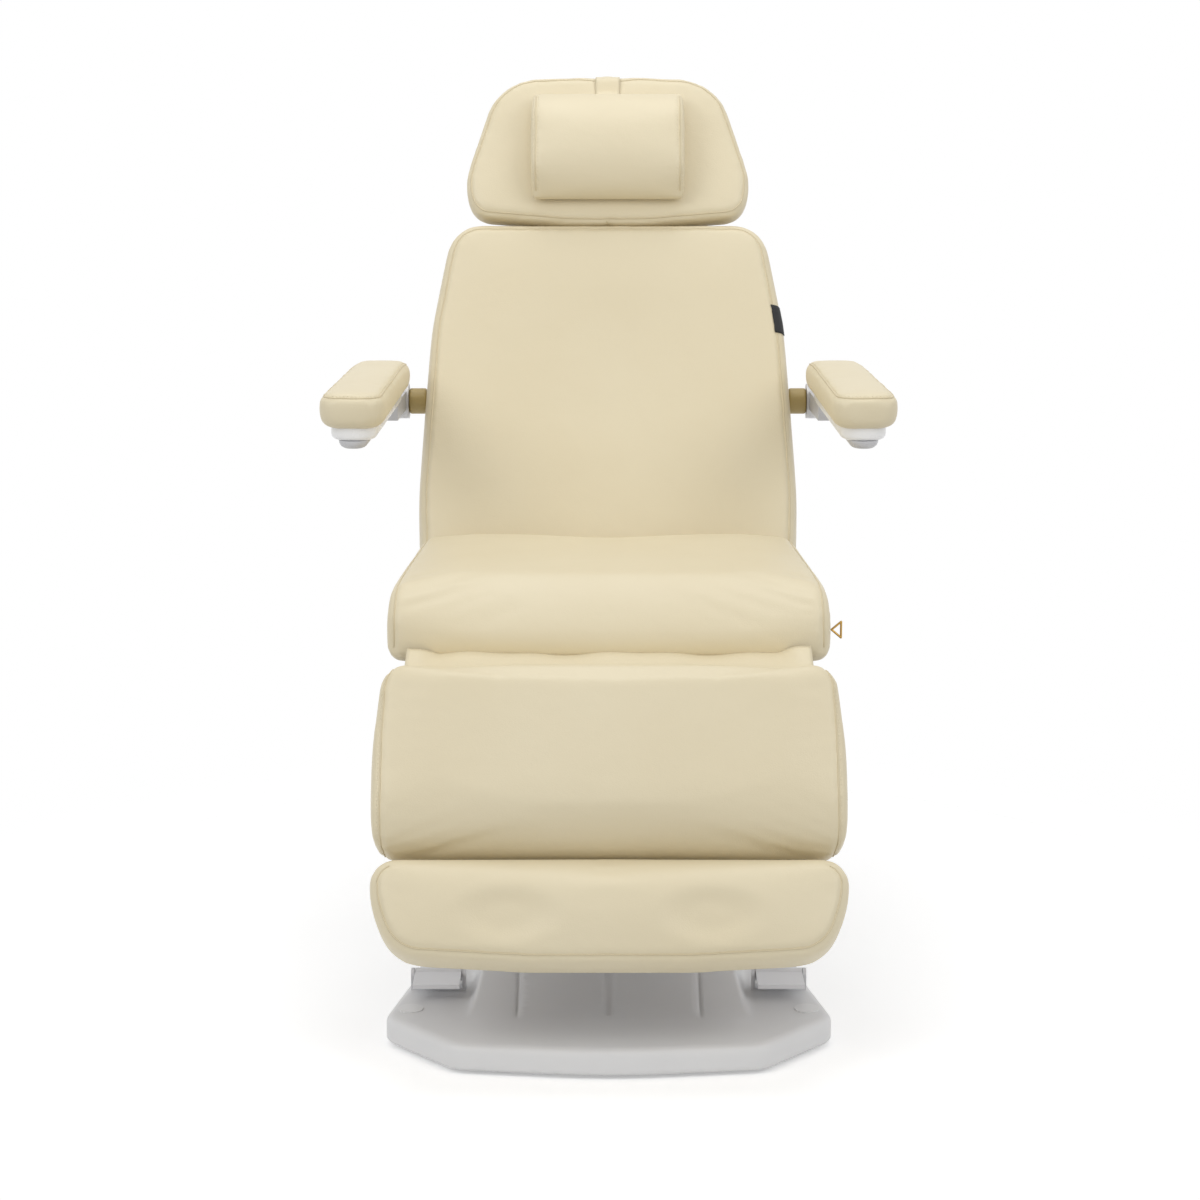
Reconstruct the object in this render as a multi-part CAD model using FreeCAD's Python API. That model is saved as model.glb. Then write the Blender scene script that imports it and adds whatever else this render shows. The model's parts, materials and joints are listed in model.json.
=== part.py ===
import FreeCAD, Part
import math
import os

# An electric procedure chair: a moulded base, a three-stage lift column, a seat, a powered back and
# leg section, a sliding foot pad, a tilting head pad and two arms that swing up.
# Millimetres. The origin is on the floor under the column, +Z is up and the sitter faces -Y.
# The back, head, leg and foot sections are drawn lying flat, as when the chair is a bed,
# and are then turned about their hinges into the sitting position.

Vec = FreeCAD.Vector

# Bed height and hinges
BED_TOP = 620.0
BACK_HINGE_Y = 223.0
BACK_HINGE_DROP = 100.0
LEG_HINGE_Y = -250.0
LEG_HINGE_DROP = 120.0
BACK_ANGLE = 65.0
LEG_ANGLE = 60.0

# Fits
RUNNING = 0.05
SOFT_GAP = 0.3
SIDE_PLAY = 1.0

# Seat
SEAT_FRONT_Y = -277.0
SEAT_FRONT_HALF = 305.0
SEAT_REAR_HALF = 280.0
SEAT_THICK = 100.0
SEAT_BACK_GAP = 5.0
SEAT_FRONT_ROUND = 55.0
SEAT_REAR_ROUND = 22.0
SEAT_BOARD_THICK = 15.0
SEAT_BOARD_FRONT_INSET = 45.0
BOARD_INSET = 16.0
CUSHION_ROUND = 18.0

# Steel frames of the seat, back and leg
RAIL_OUTER = 255.0
RAIL_WIDE = 30.0
SEAT_FRAME_HIGH = 35.0
TUBE_WALL = 2.5
SEAT_FRONT_TUBE_Y = -185.0
SEAT_REAR_TUBE_Y = 110.0
CROSS_TUBE_WIDE = 30.0
SEAT_RAIL_FRONT_Y = -233.0
SEAT_RAIL_REAR_Y = 172.0
EAR_THICK = 8.0
EAR_RADIUS = 14.0
REAR_EAR_NECK = 20.0
REAR_EAR_FRONT = 23.0
PIN_RADIUS = 7.0
BUSH_WALL = 2.0
PIN_HEAD_RADIUS = 11.0
PIN_HEAD_THICK = 4.0
FRAME_HIGH = 25.0

# Back section, measured along the bed from its hinge
BACK_START = -30.0
BACK_END = 560.0
BACK_THICK = 85.0
BACK_LOW_HALF = 282.0
BACK_WIDE_HALF = 288.0
BACK_WIDE_AT = 120.0
BACK_MID_HALF = 268.0
BACK_MID_AT = 390.0
BACK_TOP_HALF = 238.0
BACK_TOP_ROUND = 55.0
BACK_SIDE_ROUND = 400.0
BOARD_THICK = 12.0
BACK_FRAME_START = 20.0
BACK_FRAME_END = 540.0
BACK_COVER_START = 60.0
BACK_COVER_THICK = 4.0
BACK_COVER_INSET = 46.0
TAG_START = 410.0
TAG_LONG = 45.0
TAG_WIDE = 9.0
TAG_THICK = 1.2
TAG_DEPTH = 18.0

# Head section
HEAD_GAP = 6.0
HEAD_LONG = 229.0
HEAD_LOW_HALF = 190.0
HEAD_WIDE_HALF = 230.0
HEAD_WIDE_AT = 50.0
HEAD_TOP_HALF = 178.0
HEAD_TOP_ROUND = 100.0
HEAD_SIDE_ROUND = 45.0
HEAD_LOW_ROUND = 30.0
HEAD_THICK = 70.0
HEAD_HINGE_BEFORE_END = 3.0
HEAD_ARM_INNER = 60.0
HEAD_ARM_WIDE = 30.0
HEAD_ARM_SHORT = 14.0
HEAD_BARREL_RADIUS = 11.0
HEAD_SHAFT_RADIUS = 6.0
HEAD_BOARD_INSET = 20.0
PILLOW_HALF = 120.0
PILLOW_START = 19.0
PILLOW_LONG = 184.0
PILLOW_THICK = 60.0
STRAP_HALF = 19.0
STRAP_THICK = 2.0

# Leg and foot sections, measured along the bed from the leg hinge
LEG_START = 35.0
LEG_LONG = 250.0
LEG_THICK = 75.0
LEG_HALF = 311.0
LEG_CORNER = 22.0
LEG_FRAME_START = 45.0
LEG_FRAME_LONG = 232.0
LEG_COVER_INSET = 15.0
LEG_COVER_THICK = 4.0
FOOT_GAP = 4.0
FOOT_LONG = 142.0
FOOT_CORNER = 85.0
FOOT_TRAVEL = 100.0
SLIDE_X = 120.0
SLIDE_RADIUS = 8.0
SLIDE_ENGAGED = 75.0
FOOT_BAR_HALF = 150.0
FOOT_BAR_INSET = 14.0

# Arms
ARM_PIVOT_AT = 299.0
ARM_SHAFT_RADIUS = 10.0
ARM_HUB_RADIUS = 27.0
ARM_HUB_INNER = 309.0
ARM_HUB_WIDE = 28.0
ARM_BEAM_INSET = 6.0
ARM_SLEEVE_RADIUS = 20.0
ARM_SLEEVE_INNER = 281.0
ARM_LONG = 385.0
ARM_CORNER = 30.0
ARM_AHEAD_OF_PIVOT = 74.0
ARM_REAR_INNER = 296.0
ARM_RISE_OVER_PIVOT = 84.0
ARM_SPLAY = 2.9
ARM_SLOPE = 2.2
PAD_WIDE = 89.0
PAD_THICK = 49.0
PAD_ROUND = 17.0
SHELL_WIDE = 80.0
SHELL_THICK = 20.0
BELLY_WIDE = 62.0
BELLY_DEEP = 16.0
BELLY_START = 60.0
BELLY_ROUND = 12.0
BELLY_LONG_ROUND = 80.0
BELLY_FRONT_INSET = 13.5

# Drive levers and actuators
LEVER_DROP = 80.0
LEVER_GAP = 24.0
LEVER_THICK = 6.0
LEVER_HALF = 15.0
LEVER_ROOT = 12.0
SLOT_PLAY = 3.0
ROD_PIN_RADIUS = 5.0
ROD_RADIUS = 9.0
EYE_RADIUS = 12.0
ACTUATOR_X = 95.0
ACTUATOR_RADIUS = 20.0
ACTUATOR_MOTOR_RADIUS = 14.0
ACTUATOR_MOTOR_LONG = 110.0
ACTUATOR_MOTOR_SPACING = 36.0
GEAR_BLOCK_LONG = 20.0
ROD_INSIDE = 60.0

# Under-seat plate and tray
PLATE_THICK = 8.0
PLATE_HALF = 150.0
TRAY_DEEP = 67.0
TRAY_WALL = 3.0
TRAY_END_GAP = 5.0
BOLT_RADIUS = 8.0
BOLT_HEAD = 6.0
BOLT_X = 125.0

# Lift column and its shrouds
COLUMN_SIDE = 120.0
COLUMN_WALL = 4.0
COLUMN_GAP = 2.0
COLUMN_STEP = 5.0
LIFT_STROKE = 280.0
COLUMN_OVERLAP = 160.0
GLIDE_HIGH = 40.0
GLIDE_INSET = 15.0
SHROUD_X = 300.0
SHROUD_Y = 260.0
SHROUD_WALL = 2.5
SHROUD_GAP = 2.5
SHROUD_RISE = 3.0
LIFT_MOTOR_HIGH = 42.0
LIFT_MOTOR_RADIUS = 40.0
LIFT_TUBE_RADIUS = 22.0
LIFT_TUBE_SHORT = 22.0
LIFT_ROD_RADIUS = 15.0
LIFT_ROD_FOOT = 7.0

# Base
BASE_LONG = 1000.0
BASE_FRONT_BOW = 25.0
BASE_FRONT_HALF = 205.0
BASE_WIDE_HALF = 304.0
BASE_WIDE_Y = 365.0
BASE_WAIST_HALF = 270.0
BASE_WAIST_Y = 180.0
BASE_CORNER = 40.0
BASE_WAIST_ROUND = 200.0
BASE_BOW_ROUND = 600.0
COVER_LIFT = 6.0
COVER_TOP = 42.0
COVER_WALL = 4.0
COVER_ROUND = 10.0
HUMP_TOP = 105.0
HUMP_FOOT_Y = 383.0
HUMP_TOP_Y = 150.0
HUMP_FOOT_X = 192.0
HUMP_TOP_X = 160.0
HUMP_SUNK = 8.0
GROOVE_DEEP = 2.5
STRIP_WIDE = 18.0
STRIP_START = 16.0
CREASE_X = 125.0
CREASE_WIDE = 14.0
FOOT_HIGH = 12.0
FOOT_PAD_RADIUS = 25.0
FOOT_FROM_SIDE = 69.0
FOOT_FROM_CORNER = 5.0
FOOT_X = BASE_WIDE_HALF - FOOT_FROM_SIDE
FOOT_Y = BASE_WIDE_Y - FOOT_FROM_CORNER
BASE_TUBE_HIGH = 24.0
BASE_TUBE_WIDE = 40.0
BASE_RAIL_X = 110.0
BASE_PLATE_HALF = 150.0
BASE_PLATE_THICK = 8.0
CAP_FROM_SIDE = 29.5
CAP_FROM_CHAMFER = 44.0
CAP_RADIUS = 17.0
CAP_STEM_RADIUS = 14.5
CAP_RISE = 1.5
CAP_STEM_LONG = 5.0
CONTROL_BOX_Y = 180.0
CONTROL_BOX_LONG = 120.0
INLET_WIDE = 50.0
INLET_HIGH = 20.0
INLET_LONG = 70.0
SOCKET_WIDE = 36.0
SOCKET_HIGH = 14.0
SOCKET_DEEP = 20.0
SOCKET_PIN_LONG = 12.0
SOCKET_PIN_RADIUS = 2.0
SOCKET_PIN_PITCH = 9.0

# Foot pedals
PEDAL_GAP = 6.0
PEDAL_Y = -252.0
PEDAL_HALF = 38.0
PEDAL_LONG = 62.0
PEDAL_THICK = 6.0
PEDAL_PIN_RADIUS = 5.0
PEDAL_HUB_RADIUS = 9.0
PEDAL_PIN_RISE = 20.0
PEDAL_EAR = 5.0
PEDAL_PLATE = 3.0

# Ring on the right edge of the seat
RING_Y = -225.0
RING_UP = 25.0
RING_HIGH = 22.0
RING_OUT = 13.0
RING_WIRE = 1.5

# Levels and places that follow from the sizes above
BACK_HINGE_Z = BED_TOP - BACK_HINGE_DROP
LEG_HINGE_Z = BED_TOP - LEG_HINGE_DROP
SEAT_Z0 = BED_TOP - SEAT_THICK
SEAT_FRAME_TOP = SEAT_Z0 - SEAT_BOARD_THICK
SEAT_FRAME_Z0 = SEAT_FRAME_TOP - SEAT_FRAME_HIGH
PLATE_Z0 = SEAT_FRAME_Z0 - PLATE_THICK
TRAY_Z0 = PLATE_Z0 - TRAY_DEEP
BACK_BOARD_Z0 = BED_TOP - BACK_THICK - BOARD_THICK
BACK_FRAME_Z0 = BACK_BOARD_Z0 - FRAME_HIGH
LEG_BOARD_Z0 = BED_TOP - LEG_THICK - BOARD_THICK
LEG_FRAME_Z0 = LEG_BOARD_Z0 - FRAME_HIGH
HEAD_BOARD_Z0 = BED_TOP - HEAD_THICK - BOARD_THICK
HEAD_START = BACK_END + HEAD_GAP
HEAD_END = HEAD_START + HEAD_LONG
HEAD_HINGE_Y = BACK_HINGE_Y + HEAD_START - HEAD_HINGE_BEFORE_END
HEAD_HINGE_Z = BACK_HINGE_Z
SWING_OUTER = RAIL_OUTER - EAR_THICK - SIDE_PLAY
TUBE_TOP = FOOT_HIGH + BASE_TUBE_HIGH
BASE_PLATE_TOP = TUBE_TOP + BASE_PLATE_THICK
TRAY_FRONT_Y = SEAT_FRONT_TUBE_Y + CROSS_TUBE_WIDE + TRAY_END_GAP
TRAY_REAR_Y = SEAT_REAR_TUBE_Y - TRAY_END_GAP
PLATE_REAR_Y = SEAT_REAR_TUBE_Y + CROSS_TUBE_WIDE
COLUMN_OUTER_TOP = BASE_PLATE_TOP + LIFT_STROKE / 2 + COLUMN_OVERLAP
PEDAL_X = HUMP_FOOT_X + PEDAL_GAP + PEDAL_HALF
RING_Z = SEAT_Z0 + RING_UP
BACK_TURN = math.radians(BACK_ANGLE)
ARM_PIVOT_UP = BACK_FRAME_Z0 + FRAME_HIGH / 2 - BACK_HINGE_Z
ARM_PIVOT_Y = BACK_HINGE_Y + ARM_PIVOT_AT * math.cos(BACK_TURN) - ARM_PIVOT_UP * math.sin(BACK_TURN)
ARM_PIVOT_Z = BACK_HINGE_Z + ARM_PIVOT_AT * math.sin(BACK_TURN) + ARM_PIVOT_UP * math.cos(BACK_TURN)
ARM_REAR_Y = ARM_PIVOT_Y - ARM_AHEAD_OF_PIVOT
ARM_TOP = ARM_PIVOT_Z + ARM_RISE_OVER_PIVOT


# Shape helpers
def box(lo, hi):
    return Part.makeBox(hi[0] - lo[0], hi[1] - lo[1], hi[2] - lo[2], Vec(*lo))


def rod(start, end, radius):
    span = Vec(*end) - Vec(*start)
    return Part.makeCylinder(radius, span.Length, Vec(*start), span)


def tube(lo, hi, wall, along):
    """Rectangular tube from corner to corner, open at both ends of the axis that it runs along."""
    inset = [0 if axis == along else wall for axis in range(3)]
    inner_lo = [a + b for a, b in zip(lo, inset)]
    inner_hi = [a - b for a, b in zip(hi, inset)]
    return box(lo, hi).cut(box(inner_lo, inner_hi))


def sleeve(start, end, outer, inner):
    return rod(start, end, outer).cut(rod(start, end, inner))


def join(*shapes):
    return shapes[0].multiFuse(list(shapes[1:])).removeSplitter()


def mirror(shape):
    return shape.mirror(Vec(0, 0, 0), Vec(1, 0, 0))


def outline(corners, place):
    """Face inside a closed outline of (a, b, radius) corners, each rounded by its radius."""
    points = [Vec(a, b, 0) for a, b, radius in corners]
    bends = []
    for i, here in enumerate(points):
        radius = corners[i][2]
        to_last = (points[i - 1] - here).normalize()
        to_next = (points[(i + 1) % len(points)] - here).normalize()
        half_turn = to_last.getAngle(to_next) / 2
        reach = radius / math.tan(half_turn)
        inward = (to_last + to_next).normalize()
        middle = here + inward * (radius / math.sin(half_turn) - radius)
        bends.append((here + to_last * reach, middle, here + to_next * reach))
    edges = []
    for i, (start, middle, end) in enumerate(bends):
        last_end = bends[i - 1][2]
        edges.append(Part.makeLine(place(last_end), place(start)))
        if corners[i][2] > 0:
            edges.append(Part.Arc(place(start), place(middle), place(end)).toShape())
    return Part.Face(Part.Wire(edges))


def prism_x(corners, x0, x1):
    return outline(corners, lambda p: Vec(x0, p.x, p.y)).extrude(Vec(x1 - x0, 0, 0))


def prism_y(corners, y0, y1):
    return outline(corners, lambda p: Vec(p.x, y0, p.y)).extrude(Vec(0, y1 - y0, 0))


def prism_z(corners, z0, z1):
    return outline(corners, lambda p: Vec(p.x, p.y, z0)).extrude(Vec(0, 0, z1 - z0))


def both_halves(corners):
    """Whole outline from the corners of its +X half."""
    return corners + [(-a, b, radius) for a, b, radius in reversed(corners)]


def soften(solid, radius, z):
    """Round the edges that lie at one height."""
    def lies_there(edge):
        return abs(edge.BoundBox.ZMin - z) + abs(edge.BoundBox.ZMax - z) < 1e-6

    return solid.makeFillet(radius, [edge for edge in solid.Edges if lies_there(edge)])


def sit_back(shape):
    return shape.rotated(Vec(0, BACK_HINGE_Y, BACK_HINGE_Z), Vec(1, 0, 0), BACK_ANGLE)


def hang_leg(shape):
    return shape.rotated(Vec(0, LEG_HINGE_Y, LEG_HINGE_Z), Vec(1, 0, 0), LEG_ANGLE)


def save(name, *solids):
    shape = solids[0] if len(solids) == 1 else Part.makeCompound(list(solids))
    shape.exportStep(os.path.join("parts", name + ".step"))


def save_pair(name, solid):
    save(name, solid, mirror(solid))


# Base
def base_plan(inset):
    """Plan of the moulded base, the same at both ends and wider across its feet than at its waist."""
    end = BASE_LONG / 2 - inset
    half = [
        (BASE_FRONT_HALF - inset, BASE_FRONT_BOW - end, BASE_CORNER),
        (BASE_WIDE_HALF - inset, -BASE_WIDE_Y, BASE_CORNER),
        (BASE_WAIST_HALF - inset, -BASE_WAIST_Y, BASE_WAIST_ROUND),
        (BASE_WAIST_HALF - inset, BASE_WAIST_Y, BASE_WAIST_ROUND),
        (BASE_WIDE_HALF - inset, BASE_WIDE_Y, BASE_CORNER),
        (BASE_FRONT_HALF - inset, end - BASE_FRONT_BOW, BASE_CORNER),
    ]
    bow = [(0, -end, BASE_BOW_ROUND)]
    return bow + half + [(0, end, BASE_BOW_ROUND)] + [(-a, b, radius) for a, b, radius in reversed(half)]


def base_hump(inset):
    """Ramped middle of the base, which carries the shrouds."""
    low = COVER_TOP - HUMP_SUNK
    top = HUMP_TOP - inset
    ramp = [
        (inset - HUMP_FOOT_Y, COVER_TOP - inset, 0),
        (inset - HUMP_TOP_Y, top, 0),
        (HUMP_TOP_Y - inset, top, 0),
        (HUMP_FOOT_Y - inset, COVER_TOP - inset, 0),
        (HUMP_FOOT_Y - inset, low - inset, 0),
        (inset - HUMP_FOOT_Y, low - inset, 0),
    ]
    flank = both_halves([
        (HUMP_FOOT_X - inset, low - inset, 0),
        (HUMP_FOOT_X - inset, COVER_TOP - inset, 0),
        (HUMP_TOP_X - inset, top, 0),
    ])
    long_way = prism_x(ramp, -HUMP_FOOT_X, HUMP_FOOT_X)
    return long_way.common(prism_y(flank, -HUMP_FOOT_Y, HUMP_FOOT_Y))


def ramp_grooves():
    """Shallow grooves in the ramps of the base: one straight, and a tapered crease on each side."""
    strip_half = STRIP_WIDE / 2
    strip_end = STRIP_START - HUMP_FOOT_Y
    strip = [
        (-strip_half, strip_end, strip_half - GROOVE_DEEP),
        (strip_half, strip_end, strip_half - GROOVE_DEEP),
        (strip_half, -HUMP_TOP_Y, 0),
        (-strip_half, -HUMP_TOP_Y, 0),
    ]
    crease_inner = CREASE_X - CREASE_WIDE / 2
    crease_outer = CREASE_X + CREASE_WIDE / 2
    crease = [(CREASE_X, -HUMP_FOOT_Y, 0), (crease_outer, -HUMP_TOP_Y, 0), (crease_inner, -HUMP_TOP_Y, 0)]
    right = prism_z(crease, COVER_TOP, HUMP_TOP)
    front = join(prism_z(strip, COVER_TOP, HUMP_TOP), right, mirror(right))
    rear = front.mirror(FreeCAD.Vector(0, 0, 0), FreeCAD.Vector(0, 1, 0))
    floor = base_hump(0)
    floor.translate(FreeCAD.Vector(0, 0, -GROOVE_DEEP))
    return front.cut(floor), rear.cut(floor)


def cap_place():
    """Centre of a foot cap, set in from the two edges that meet at a wide corner of the base."""
    corner = FreeCAD.Vector(BASE_WIDE_HALF, BASE_WIDE_Y, 0)
    chamfer = (FreeCAD.Vector(BASE_FRONT_HALF, BASE_LONG / 2 - BASE_FRONT_BOW, 0) - corner).normalize()
    flank = (FreeCAD.Vector(BASE_WAIST_HALF, BASE_WAIST_Y, 0) - corner).normalize()
    lean = chamfer.cross(flank).Length
    place = corner + chamfer * (CAP_FROM_SIDE / lean) + flank * (CAP_FROM_CHAMFER / lean)
    return place.x, place.y


def at_corners(solid_at, x, y):
    return [solid_at(side * x, end * y) for side in (-1, 1) for end in (-1, 1)]


def make_base():
    slab = soften(prism_z(base_plan(0), COVER_LIFT, COVER_TOP), COVER_ROUND, COVER_TOP)
    hollow = prism_z(base_plan(COVER_WALL), 0, COVER_TOP - COVER_WALL)
    cover = join(slab, base_hump(0)).cut(hollow).cut(base_hump(COVER_WALL))
    lower_x = SHROUD_X / 2 - 2 * (SHROUD_WALL + SHROUD_GAP)
    lower_y = SHROUD_Y / 2 - 2 * (SHROUD_WALL + SHROUD_GAP)
    well_x = lower_x + SIDE_PLAY
    well_y = lower_y + SIDE_PLAY
    cover = cover.cut(box((-well_x, -well_y, 0), (well_x, well_y, HUMP_TOP + COVER_WALL)))
    for groove in ramp_grooves():
        cover = cover.cut(groove)
    stem_hole = CAP_STEM_RADIUS + SOFT_GAP
    for hole in at_corners(lambda x, y: rod((x, y, 0), (x, y, HUMP_TOP), stem_hole), *cap_place()):
        cover = cover.cut(hole)
    inlet_end = BASE_LONG / 2 + CAP_RISE
    inlet_half = INLET_WIDE / 2
    inlet_z0 = FOOT_HIGH + PEDAL_PLATE
    inlet_gap = SOFT_GAP
    inlet_hole = box(
        (-inlet_half - inlet_gap, inlet_end - INLET_LONG, inlet_z0 - inlet_gap),
        (inlet_half + inlet_gap, inlet_end, inlet_z0 + INLET_HIGH + inlet_gap))
    save("base_cover", cover.cut(inlet_hole))

    def cap(x, y):
        lip = rod((x, y, COVER_TOP), (x, y, COVER_TOP + CAP_RISE), CAP_RADIUS)
        stem = rod((x, y, COVER_TOP - CAP_STEM_LONG), (x, y, COVER_TOP), CAP_STEM_RADIUS)
        return join(lip, stem)

    save("foot_caps", *at_corners(cap, *cap_place()))

    def foot(x, y):
        pad = rod((x, y, 0), (x, y, FOOT_HIGH), FOOT_PAD_RADIUS)
        return pad.makeChamfer(PEDAL_PLATE, [pad.Edges[0]])

    save("levelling_feet", *at_corners(foot, FOOT_X, FOOT_Y))

    half = BASE_TUBE_WIDE / 2
    cross_end = FOOT_X + FOOT_PAD_RADIUS
    tubes = []
    for y in (-FOOT_Y, FOOT_Y):
        lo = (-cross_end, y - half, FOOT_HIGH)
        tubes.append(tube(lo, (cross_end, y + half, TUBE_TOP), TUBE_WALL, 0))
    for x in (-BASE_RAIL_X, BASE_RAIL_X):
        lo = (x - half, half - FOOT_Y, FOOT_HIGH)
        tubes.append(tube(lo, (x + half, FOOT_Y - half, TUBE_TOP), TUBE_WALL, 1))
    plate_half = BASE_PLATE_HALF
    tubes.append(box((-plate_half, -plate_half, TUBE_TOP), (plate_half, plate_half, BASE_PLATE_TOP)))
    shelf_lo = (-inlet_half, FOOT_Y + half, FOOT_HIGH)
    tubes.append(box(shelf_lo, (inlet_half, inlet_end - SOCKET_DEEP, inlet_z0)))
    save("base_frame", join(*tubes))

    control_half = BASE_RAIL_X - half
    control_end = CONTROL_BOX_Y + CONTROL_BOX_LONG
    control_lo = (-control_half, CONTROL_BOX_Y, FOOT_HIGH)
    save("control_box", box(control_lo, (control_half, control_end, TUBE_TOP)))

    inlet_lo = (-inlet_half, inlet_end - INLET_LONG, inlet_z0)
    inlet = box(inlet_lo, (inlet_half, inlet_end, inlet_z0 + INLET_HIGH))
    socket_z = inlet_z0 + INLET_HIGH / 2
    socket_lo = (-SOCKET_WIDE / 2, inlet_end - SOCKET_DEEP, socket_z - SOCKET_HIGH / 2)
    inlet = inlet.cut(box(socket_lo, (SOCKET_WIDE / 2, inlet_end, socket_z + SOCKET_HIGH / 2)))
    blades = []
    for step in (-1, 0, 1):
        x = step * SOCKET_PIN_PITCH
        start = (x, inlet_end - SOCKET_DEEP, socket_z)
        blades.append(rod(start, (x, start[1] + SOCKET_PIN_LONG, socket_z), SOCKET_PIN_RADIUS))
    save("power_inlet", join(inlet, *blades))


def make_pedals():
    """A rocking foot pedal on each side of the base's waist, on a pin between two ears."""
    ear_top = COVER_TOP + PEDAL_PIN_RISE
    hub_half = PEDAL_HALF - PEDAL_EAR - SIDE_PLAY
    foot_lo = (PEDAL_X - PEDAL_HALF, PEDAL_Y - PEDAL_HUB_RADIUS, COVER_TOP)
    foot_hi = (PEDAL_X + PEDAL_HALF, PEDAL_Y + PEDAL_HUB_RADIUS, COVER_TOP + PEDAL_PLATE)
    pieces = [box(foot_lo, foot_hi)]
    for x in (PEDAL_X - PEDAL_HALF, PEDAL_X + PEDAL_HALF - PEDAL_EAR):
        ear = box((x, foot_lo[1], COVER_TOP), (x + PEDAL_EAR, foot_hi[1], ear_top))
        pieces += [ear, rod((x, PEDAL_Y, ear_top), (x + PEDAL_EAR, PEDAL_Y, ear_top), PEDAL_HUB_RADIUS)]
    pin_start = (PEDAL_X - PEDAL_HALF, PEDAL_Y, ear_top)
    pieces.append(rod(pin_start, (PEDAL_X + PEDAL_HALF, PEDAL_Y, ear_top), PEDAL_PIN_RADIUS))
    save_pair("pedal_brackets", join(*pieces))

    hub_start = (PEDAL_X - hub_half, PEDAL_Y, ear_top)
    hub_end = (PEDAL_X + hub_half, PEDAL_Y, ear_top)
    tread_lo = (PEDAL_X - hub_half, PEDAL_Y - PEDAL_LONG, ear_top)
    tread_hi = (PEDAL_X + hub_half, PEDAL_Y + PEDAL_HUB_RADIUS, ear_top + PEDAL_THICK)
    pedal = join(rod(hub_start, hub_end, PEDAL_HUB_RADIUS), box(tread_lo, tread_hi))
    pedal = pedal.cut(rod(hub_start, hub_end, PEDAL_PIN_RADIUS + RUNNING))
    save("left_pedal", mirror(pedal))
    save("right_pedal", pedal)


# Lift column
def square_tube(side, z0, z1):
    half = side / 2
    return tube((-half, -half, z0), (half, half, z1), COLUMN_WALL, 2)


def glides(side, z0):
    """Four wear pads round the foot of a column stage."""
    half = side / 2
    pad_half = half - GLIDE_INSET
    lo = (-pad_half, half, z0)
    pad = box(lo, (pad_half, half + COLUMN_GAP - 2 * RUNNING, z0 + GLIDE_HIGH))
    return [pad.rotated(Vec(0, 0, 0), Vec(0, 0, 1), turn) for turn in (0, 90, 180, 270)]


def shroud(layer, z0, z1):
    """Sheet-metal skirt round the column; layer 0 is the outermost."""
    shrink = layer * (SHROUD_WALL + SHROUD_GAP)
    x = SHROUD_X / 2 - shrink
    y = SHROUD_Y / 2 - shrink
    return tube((-x, -y, z0), (x, y, z1), SHROUD_WALL, 2)


def make_column():
    middle_side = COLUMN_SIDE - 2 * (COLUMN_WALL + COLUMN_GAP)
    inner_side = middle_side - 2 * (COLUMN_WALL + COLUMN_GAP)
    middle_z0 = BASE_PLATE_TOP + COLUMN_STEP
    inner_z0 = middle_z0 + COLUMN_STEP
    middle_top = COLUMN_OUTER_TOP + COLUMN_STEP
    save("column_outer", square_tube(COLUMN_SIDE, BASE_PLATE_TOP, COLUMN_OUTER_TOP))
    save("column_middle", square_tube(middle_side, middle_z0, middle_top))
    save("column_inner", square_tube(inner_side, inner_z0, PLATE_Z0))
    save("middle_glides", *glides(middle_side, middle_z0))
    save("inner_glides", *glides(inner_side, inner_z0))

    upper_z0 = HUMP_TOP + COLUMN_STEP
    middle_shroud_z0 = upper_z0 - SHROUD_RISE
    save("shroud_lower", shroud(2, BASE_PLATE_TOP, COLUMN_OUTER_TOP))
    ring_x = SHROUD_X / 2 - SHROUD_WALL - SHROUD_GAP
    ring_y = SHROUD_Y / 2 - SHROUD_WALL - SHROUD_GAP
    ring_hole = inner_side / 2 + COLUMN_GAP
    ring_top = middle_top + SHROUD_WALL
    ring = box((-ring_x, -ring_y, middle_top), (ring_x, ring_y, ring_top))
    ring = ring.cut(box((-ring_hole, -ring_hole, middle_top), (ring_hole, ring_hole, ring_top)))
    save("shroud_middle", join(shroud(1, middle_shroud_z0, middle_top), ring))
    save("shroud_upper", shroud(0, upper_z0, TRAY_Z0))

    motor_top = BASE_PLATE_TOP + LIFT_MOTOR_HIGH
    tube_top = PLATE_Z0 - LIFT_TUBE_SHORT
    motor = rod((0, 0, BASE_PLATE_TOP), (0, 0, motor_top), LIFT_MOTOR_RADIUS)
    barrel = sleeve((0, 0, motor_top), (0, 0, tube_top), LIFT_TUBE_RADIUS, LIFT_ROD_RADIUS + RUNNING)
    save("lift_actuator", join(motor, barrel))
    save("lift_rod", rod((0, 0, motor_top + LIFT_ROD_FOOT), (0, 0, PLATE_Z0), LIFT_ROD_RADIUS))

    def bolt(x, y):
        return rod((x, y, BASE_PLATE_TOP), (x, y, BASE_PLATE_TOP + BOLT_HEAD), BOLT_RADIUS)

    bolt_at = COLUMN_SIDE / 2 + 2 * BOLT_RADIUS
    save("column_bolts", *at_corners(bolt, bolt_at, bolt_at))


# Seat
def back_face_y(z):
    """Where the face of the upright back stands at a height."""
    slope = math.radians(BACK_ANGLE)
    face_y = BACK_HINGE_Y - BACK_HINGE_DROP * math.sin(slope)
    face_z = BACK_HINGE_Z + BACK_HINGE_DROP * math.cos(slope)
    return face_y + (z - face_z) / math.tan(slope)


SEAT_REAR_Y = back_face_y(BED_TOP) - SEAT_BACK_GAP
SEAT_LOW_REAR_Y = back_face_y(SEAT_Z0) - SEAT_BACK_GAP


def seat_half(y):
    """Half width of the tapered seat at a place along it."""
    share = (y - SEAT_FRONT_Y) / (SEAT_REAR_Y - SEAT_FRONT_Y)
    return SEAT_FRONT_HALF + (SEAT_REAR_HALF - SEAT_FRONT_HALF) * share


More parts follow.
